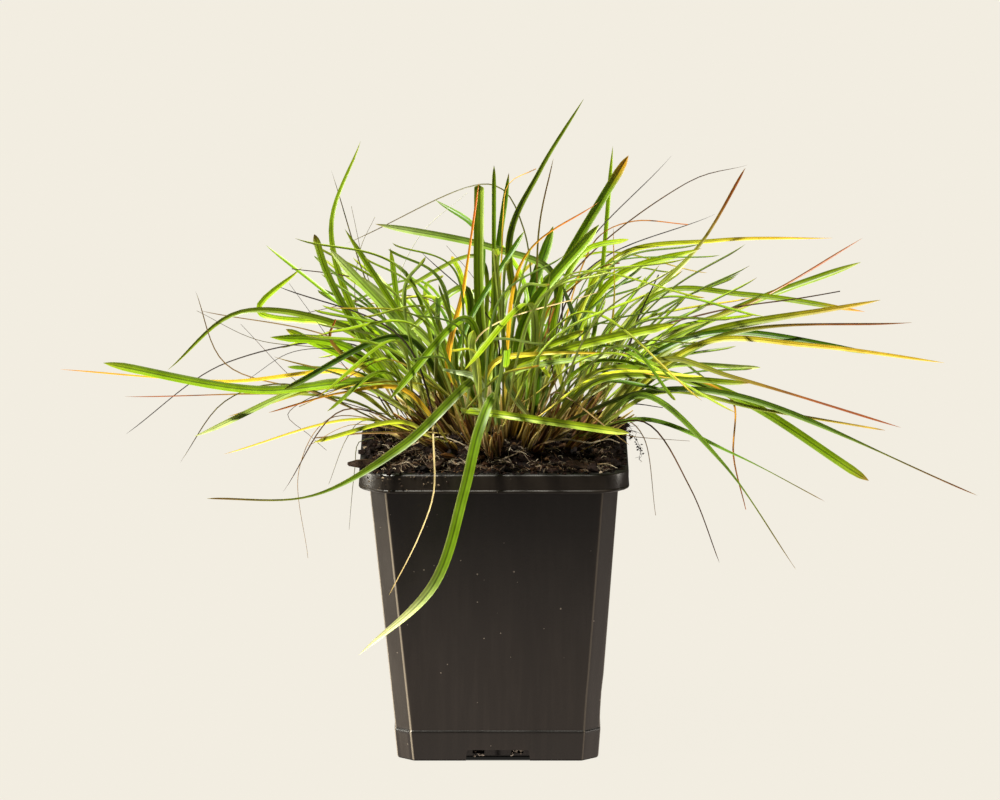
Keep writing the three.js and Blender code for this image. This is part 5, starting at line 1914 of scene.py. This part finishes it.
def blade_material(name, roughness, subsurface, vein_count, contrast):
    """A blade: its own tint, broken by veins, blotches and painted shade in the channel along the midrib,
    with a fine ribbed relief.
    """
    material, tree, shader = new_material(name)
    place = object_place(tree)
    along = add_node(tree, "ShaderNodeUVMap", {}, uv_map="along").outputs["UV"]
    across = add_node(tree, "ShaderNodeSeparateXYZ", {"Vector": along}).outputs["X"]
    group = made_once(bpy.data.node_groups, vein_group, "blade_veins")
    inputs = {"Across": across, "Count": vein_count}
    veins = add_node(tree, "ShaderNodeGroup", inputs, node_tree=group).outputs
    blotch = clouds(tree, place, 160.0, 4.0)
    fine = clouds(tree, place, 1500.0, 2.0)
    stripe = mapped(tree, veins["Veins"], 0.0, 1.0, 1 - contrast, 1 + contrast)
    patch = mapped(tree, blotch, 0.3, 0.7, 0.82, 1.16)
    # Painted shade darkens the channel along the midrib
    lit = maths(tree, "MULTIPLY_ADD", veins["Midrib"], PAINTED_GROOVE_SHADE, maths(tree, "MULTIPLY", stripe, patch))
    rough = mapped(tree, blotch, 0.3, 0.7, roughness - 0.07, roughness + 0.1)
    ribs = relief(tree, maths(tree, "MULTIPLY_ADD", fine, 0.1, veins["Veins"]), 0.12, 0.0001)
    set_skin(tree, shader, scaled(tree, own_tint(tree, "Color"), lit), rough, ribs, 0.32)
    set_input(tree, shader, "Subsurface Weight", subsurface)
    set_input(tree, shader, "Subsurface Radius", LEAF_GLOW)
    set_input(tree, shader, "Subsurface Scale", LEAF_GLOW_DEPTH)
    return material


def leaf_materials(settings):
    """The living blade's finish and the dead sheath's: roughness, glow, count of veins and their contrast."""
    kinds = (("green_blade", settings.gloss, 0.14, 6.0, 0.14), ("dry_sheath", 0.72, 0.1, 7.0, 0.22))
    return [made_once(bpy.data.materials, blade_material, *kind) for kind in kinds]


# Operators for the pot and the plant

class MOORGRASS_OT_pot(bpy.types.Operator):
    """Mould the pot: wall, rim, foot, notches and drain holes"""

    bl_idname = "moorgrass.pot"
    bl_label = "Pot"

    def execute(self, context):
        settings = context.scene.moorgrass_pot
        mesh = pot_mesh(settings)
        material = plastic_material(settings)
        piece = finish_piece(mesh, "moulded_pot", [material], ["pot"], POT_CREASE)
        cut_away(piece, foot_cutters(settings.lean))
        piece.data.set_sharp_from_angle(angle=math.radians(POT_CREASE))
        if len(piece.data.polygons) < FEWEST_POT_FACES:
            raise RuntimeError("the pot's foot could not be cut")
        return {"FINISHED"}


class MOORGRASS_OT_soil(bpy.types.Operator):
    """Fill the pot with peat, crumbs, bark chips and root hairs"""

    bl_idname = "moorgrass.soil"
    bl_label = "Soil"

    def execute(self, context):
        settings = context.scene.moorgrass_soil
        bunches_of(True)
        material = peat_material()
        for mesh, name in ((soil_body(), "peat_body"), (soil_spill(), "peat_spill")):
            finish_piece(mesh, name, [material], ["potting_soil"], PEAT_CREASE)
        crumb_piece(settings, material)
        chip_piece(material)
        fibre_piece(settings, material)
        return {"FINISHED"}


def dress_bunches(green, settings, materials):
    for bunch in bunches_of(green):
        if not bunch.leaves:
            raise RuntimeError(f"bunch {bunch.index} has no leaves")
        bunch_piece(bunch, settings, materials)


class MOORGRASS_OT_green_leaves(bpy.types.Operator):
    """Grow the green bunches with their sheaths"""

    bl_idname = "moorgrass.green_leaves"
    bl_label = "Green Leaves"

    def execute(self, context):
        settings = context.scene.moorgrass_leaf
        green, dry = leaf_materials(settings)
        dress_bunches(True, settings, (green, dry))
        young_shoots(settings, green)
        return {"FINISHED"}


class MOORGRASS_OT_dry_leaves(bpy.types.Operator):
    """Grow the dry bunches at the edge of the crown"""

    bl_idname = "moorgrass.dry_leaves"
    bl_label = "Dry Leaves"

    def execute(self, context):
        settings = context.scene.moorgrass_leaf
        dry = leaf_materials(settings)[1]
        dress_bunches(False, settings, (dry, dry))
        wisp_piece(dry)
        return {"FINISHED"}


# Stage

FLOOR_SIZE = 9.0
FLOOR_DIFFUSE = 0.002
FLOOR_GLOW = 0.996
FOOT_SHADOW = 0.02
FOOT_SHADOW_REACH = 1.6
AIR_LIGHT = (0.09, 1.01)
CAMERA_DISTANCE = 3.2
CAMERA_TARGET = (0.002, 0, 0.1167)
SENSOR = 36
LAMP_TARGET = (0, 0, 0.12)
CARD_HEIGHT = 0.0005

# Lamps: name, kind, place, power, colour and what belongs to the kind
LAMPS = [
    ("key", "SUN", (-0.6, -0.5, 1.9), 7.5, (1.0, 0.97, 0.87), {"angle": math.radians(5)}),
    ("left", "AREA", (-1.4, 0.05, 0.3), 36, (1.0, 0.96, 0.84),
     {"shape": "RECTANGLE", "size": 0.5, "size_y": 0.8}),
    ("right", "AREA", (1.4, 0.05, 0.3), 12, (1.0, 0.93, 0.84),
     {"shape": "RECTANGLE", "size": 0.4, "size_y": 0.7}),
    ("card", "AREA", (-0.03, -0.05, CARD_HEIGHT), 0.5, (1.0, 0.85, 0.74),
     {"shape": "ELLIPSE", "size": 0.6, "size_y": 0.34}),
]


def add_lamp(name, kind, place, power, colour, settings):
    """A lamp that looks at the middle of the tuft, or straight up from the floor."""
    light = bpy.data.lights.new(name, kind)
    light.energy = power
    light.color = colour
    for setting, value in settings.items():
        setattr(light, setting, value)
    lamp = bpy.data.objects.new(name, light)
    lamp.location = place
    way = Vector((0, 0, 1)) if place[2] == CARD_HEIGHT else Vector(LAMP_TARGET) - Vector(place)
    lamp.rotation_euler = way.to_track_quat("-Z", "Y").to_euler()
    lamp.visible_camera = False
    bpy.context.scene.collection.objects.link(lamp)


def floor_material(settings):
    """A floor that glows as evenly as the air behind it, with a painted contact shadow, a thin dark line,
    under the pot's foot.
    """
    material, tree, shader = new_material("pale_floor")
    apart = add_node(tree, "ShaderNodeSeparateXYZ", {"Vector": object_place(tree)}).outputs
    across = maths(tree, "ABSOLUTE", maths(tree, "SUBTRACT", apart["X"], POT_LEAN * MM))
    deep = maths(tree, "ABSOLUTE", apart["Y"])
    chamfer = (BODY_FOOT_SIDE / 2 - BODY_CORNER) * MM
    slanted = maths(tree, "SUBTRACT", maths(tree, "ADD", across, deep), chamfer)
    reach = maths(tree, "MAXIMUM", maths(tree, "MAXIMUM", across, deep), slanted)
    edge = BODY_FOOT_SIDE / 2 * MM
    # Painted contact shadow round the pot's foot
    light = mapped(tree, reach, edge - FOOT_SHADOW_REACH * MM, edge, FOOT_SHADOW, 1.0)
    set_input(tree, shader, "Base Color", (*(part * FLOOR_DIFFUSE for part in settings.colour), 1))
    set_input(tree, shader, "Roughness", 1.0)
    set_input(tree, shader, "Specular IOR Level", 0.0)
    set_input(tree, shader, "Emission Color", scaled(tree, settings.colour, light))
    set_input(tree, shader, "Emission Strength", FLOOR_GLOW)
    return material


def add_floor(settings):
    mesh = bmesh.new()
    bmesh.ops.create_grid(mesh, x_segments=1, y_segments=1, size=FLOOR_SIZE)
    floor = new_object("floor", mesh)
    floor.data.materials.append(floor_material(settings))
    floor.visible_diffuse = False
    floor.visible_glossy = False


def add_camera(settings):
    """A long lens level with the photograph's, looking down a little."""
    way = Vector((0, -math.cos(settings.pitch), math.sin(settings.pitch)))
    lens = bpy.data.cameras.new("camera")
    lens.sensor_width = SENSOR
    lens.lens = SENSOR * CAMERA_DISTANCE / settings.scale
    lens.clip_end = 40
    camera = bpy.data.objects.new("camera", lens)
    camera.location = Vector(CAMERA_TARGET) + way * CAMERA_DISTANCE
    camera.rotation_euler = (-way).to_track_quat("-Z", "Y").to_euler()
    bpy.context.scene.collection.objects.link(camera)
    bpy.context.scene.camera = camera


def add_air(settings):
    """The pale air behind, dimmer as a light than as a backdrop."""
    world = bpy.data.worlds.new("air")
    world.use_nodes = True
    bpy.context.scene.world = world
    tree = world.node_tree
    seen = add_node(tree, "ShaderNodeLightPath", {}).outputs["Is Camera Ray"]
    set_input(tree, tree.nodes["Background"], "Color", (*settings.colour, 1))
    set_input(tree, tree.nodes["Background"], "Strength", mapped(tree, seen, 0.0, 1.0, *AIR_LIGHT))


class MOORGRASS_OT_stage(bpy.types.Operator):
    """Lay the floor and set the camera and the soft lights"""

    bl_idname = "moorgrass.stage"
    bl_label = "Stage"

    def execute(self, context):
        settings = context.scene.moorgrass_stage
        add_floor(settings)
        add_camera(settings)
        add_air(settings)
        for lamp in LAMPS:
            add_lamp(*lamp)
        context.scene.view_settings.view_transform = "Standard"
        context.scene.view_settings.look = "None"
        return {"FINISHED"}


# Panel and registering

class MOORGRASS_PT_panel(bpy.types.Panel):
    """Sizes and colours of the potted grass, and a button for each piece"""

    bl_label = "Moor Grass"
    bl_idname = "MOORGRASS_PT_panel"
    bl_space_type = "VIEW_3D"
    bl_region_type = "UI"
    bl_category = "Moor Grass"

    def draw(self, context):
        scene = context.scene
        for title, settings, operators in (
                ("Pot", scene.moorgrass_pot, ("moorgrass.pot",)),
                ("Soil", scene.moorgrass_soil, ("moorgrass.soil",)),
                ("Leaves", scene.moorgrass_leaf, ("moorgrass.green_leaves", "moorgrass.dry_leaves")),
                ("Stage", scene.moorgrass_stage, ("moorgrass.stage",))):
            box = self.layout.box()
            box.label(text=title)
            for name in settings.bl_rna.properties.keys():
                if name not in ("rna_type", "name"):
                    box.prop(settings, name)
            for operator in operators:
                box.operator(operator)


CLASSES = (
    PotSettings, SoilSettings, LeafSettings, StageSettings,
    MOORGRASS_OT_pot, MOORGRASS_OT_soil, MOORGRASS_OT_green_leaves, MOORGRASS_OT_dry_leaves,
    MOORGRASS_OT_stage, MOORGRASS_PT_panel,
)
SETTINGS = {
    "moorgrass_pot": PotSettings, "moorgrass_soil": SoilSettings,
    "moorgrass_leaf": LeafSettings, "moorgrass_stage": StageSettings,
}


def register():
    for item in CLASSES:
        bpy.utils.register_class(item)
    for name, settings in SETTINGS.items():
        setattr(bpy.types.Scene, name, PointerProperty(type=settings))


def unregister():
    for name in SETTINGS:
        delattr(bpy.types.Scene, name)
    for item in reversed(CLASSES):
        bpy.utils.unregister_class(item)


def main():
    register()
    bpy.ops.moorgrass.stage()
    bpy.ops.moorgrass.pot()
    bpy.ops.moorgrass.soil()
    bpy.ops.moorgrass.green_leaves()
    bpy.ops.moorgrass.dry_leaves()


if __name__ == "__main__":
    main()
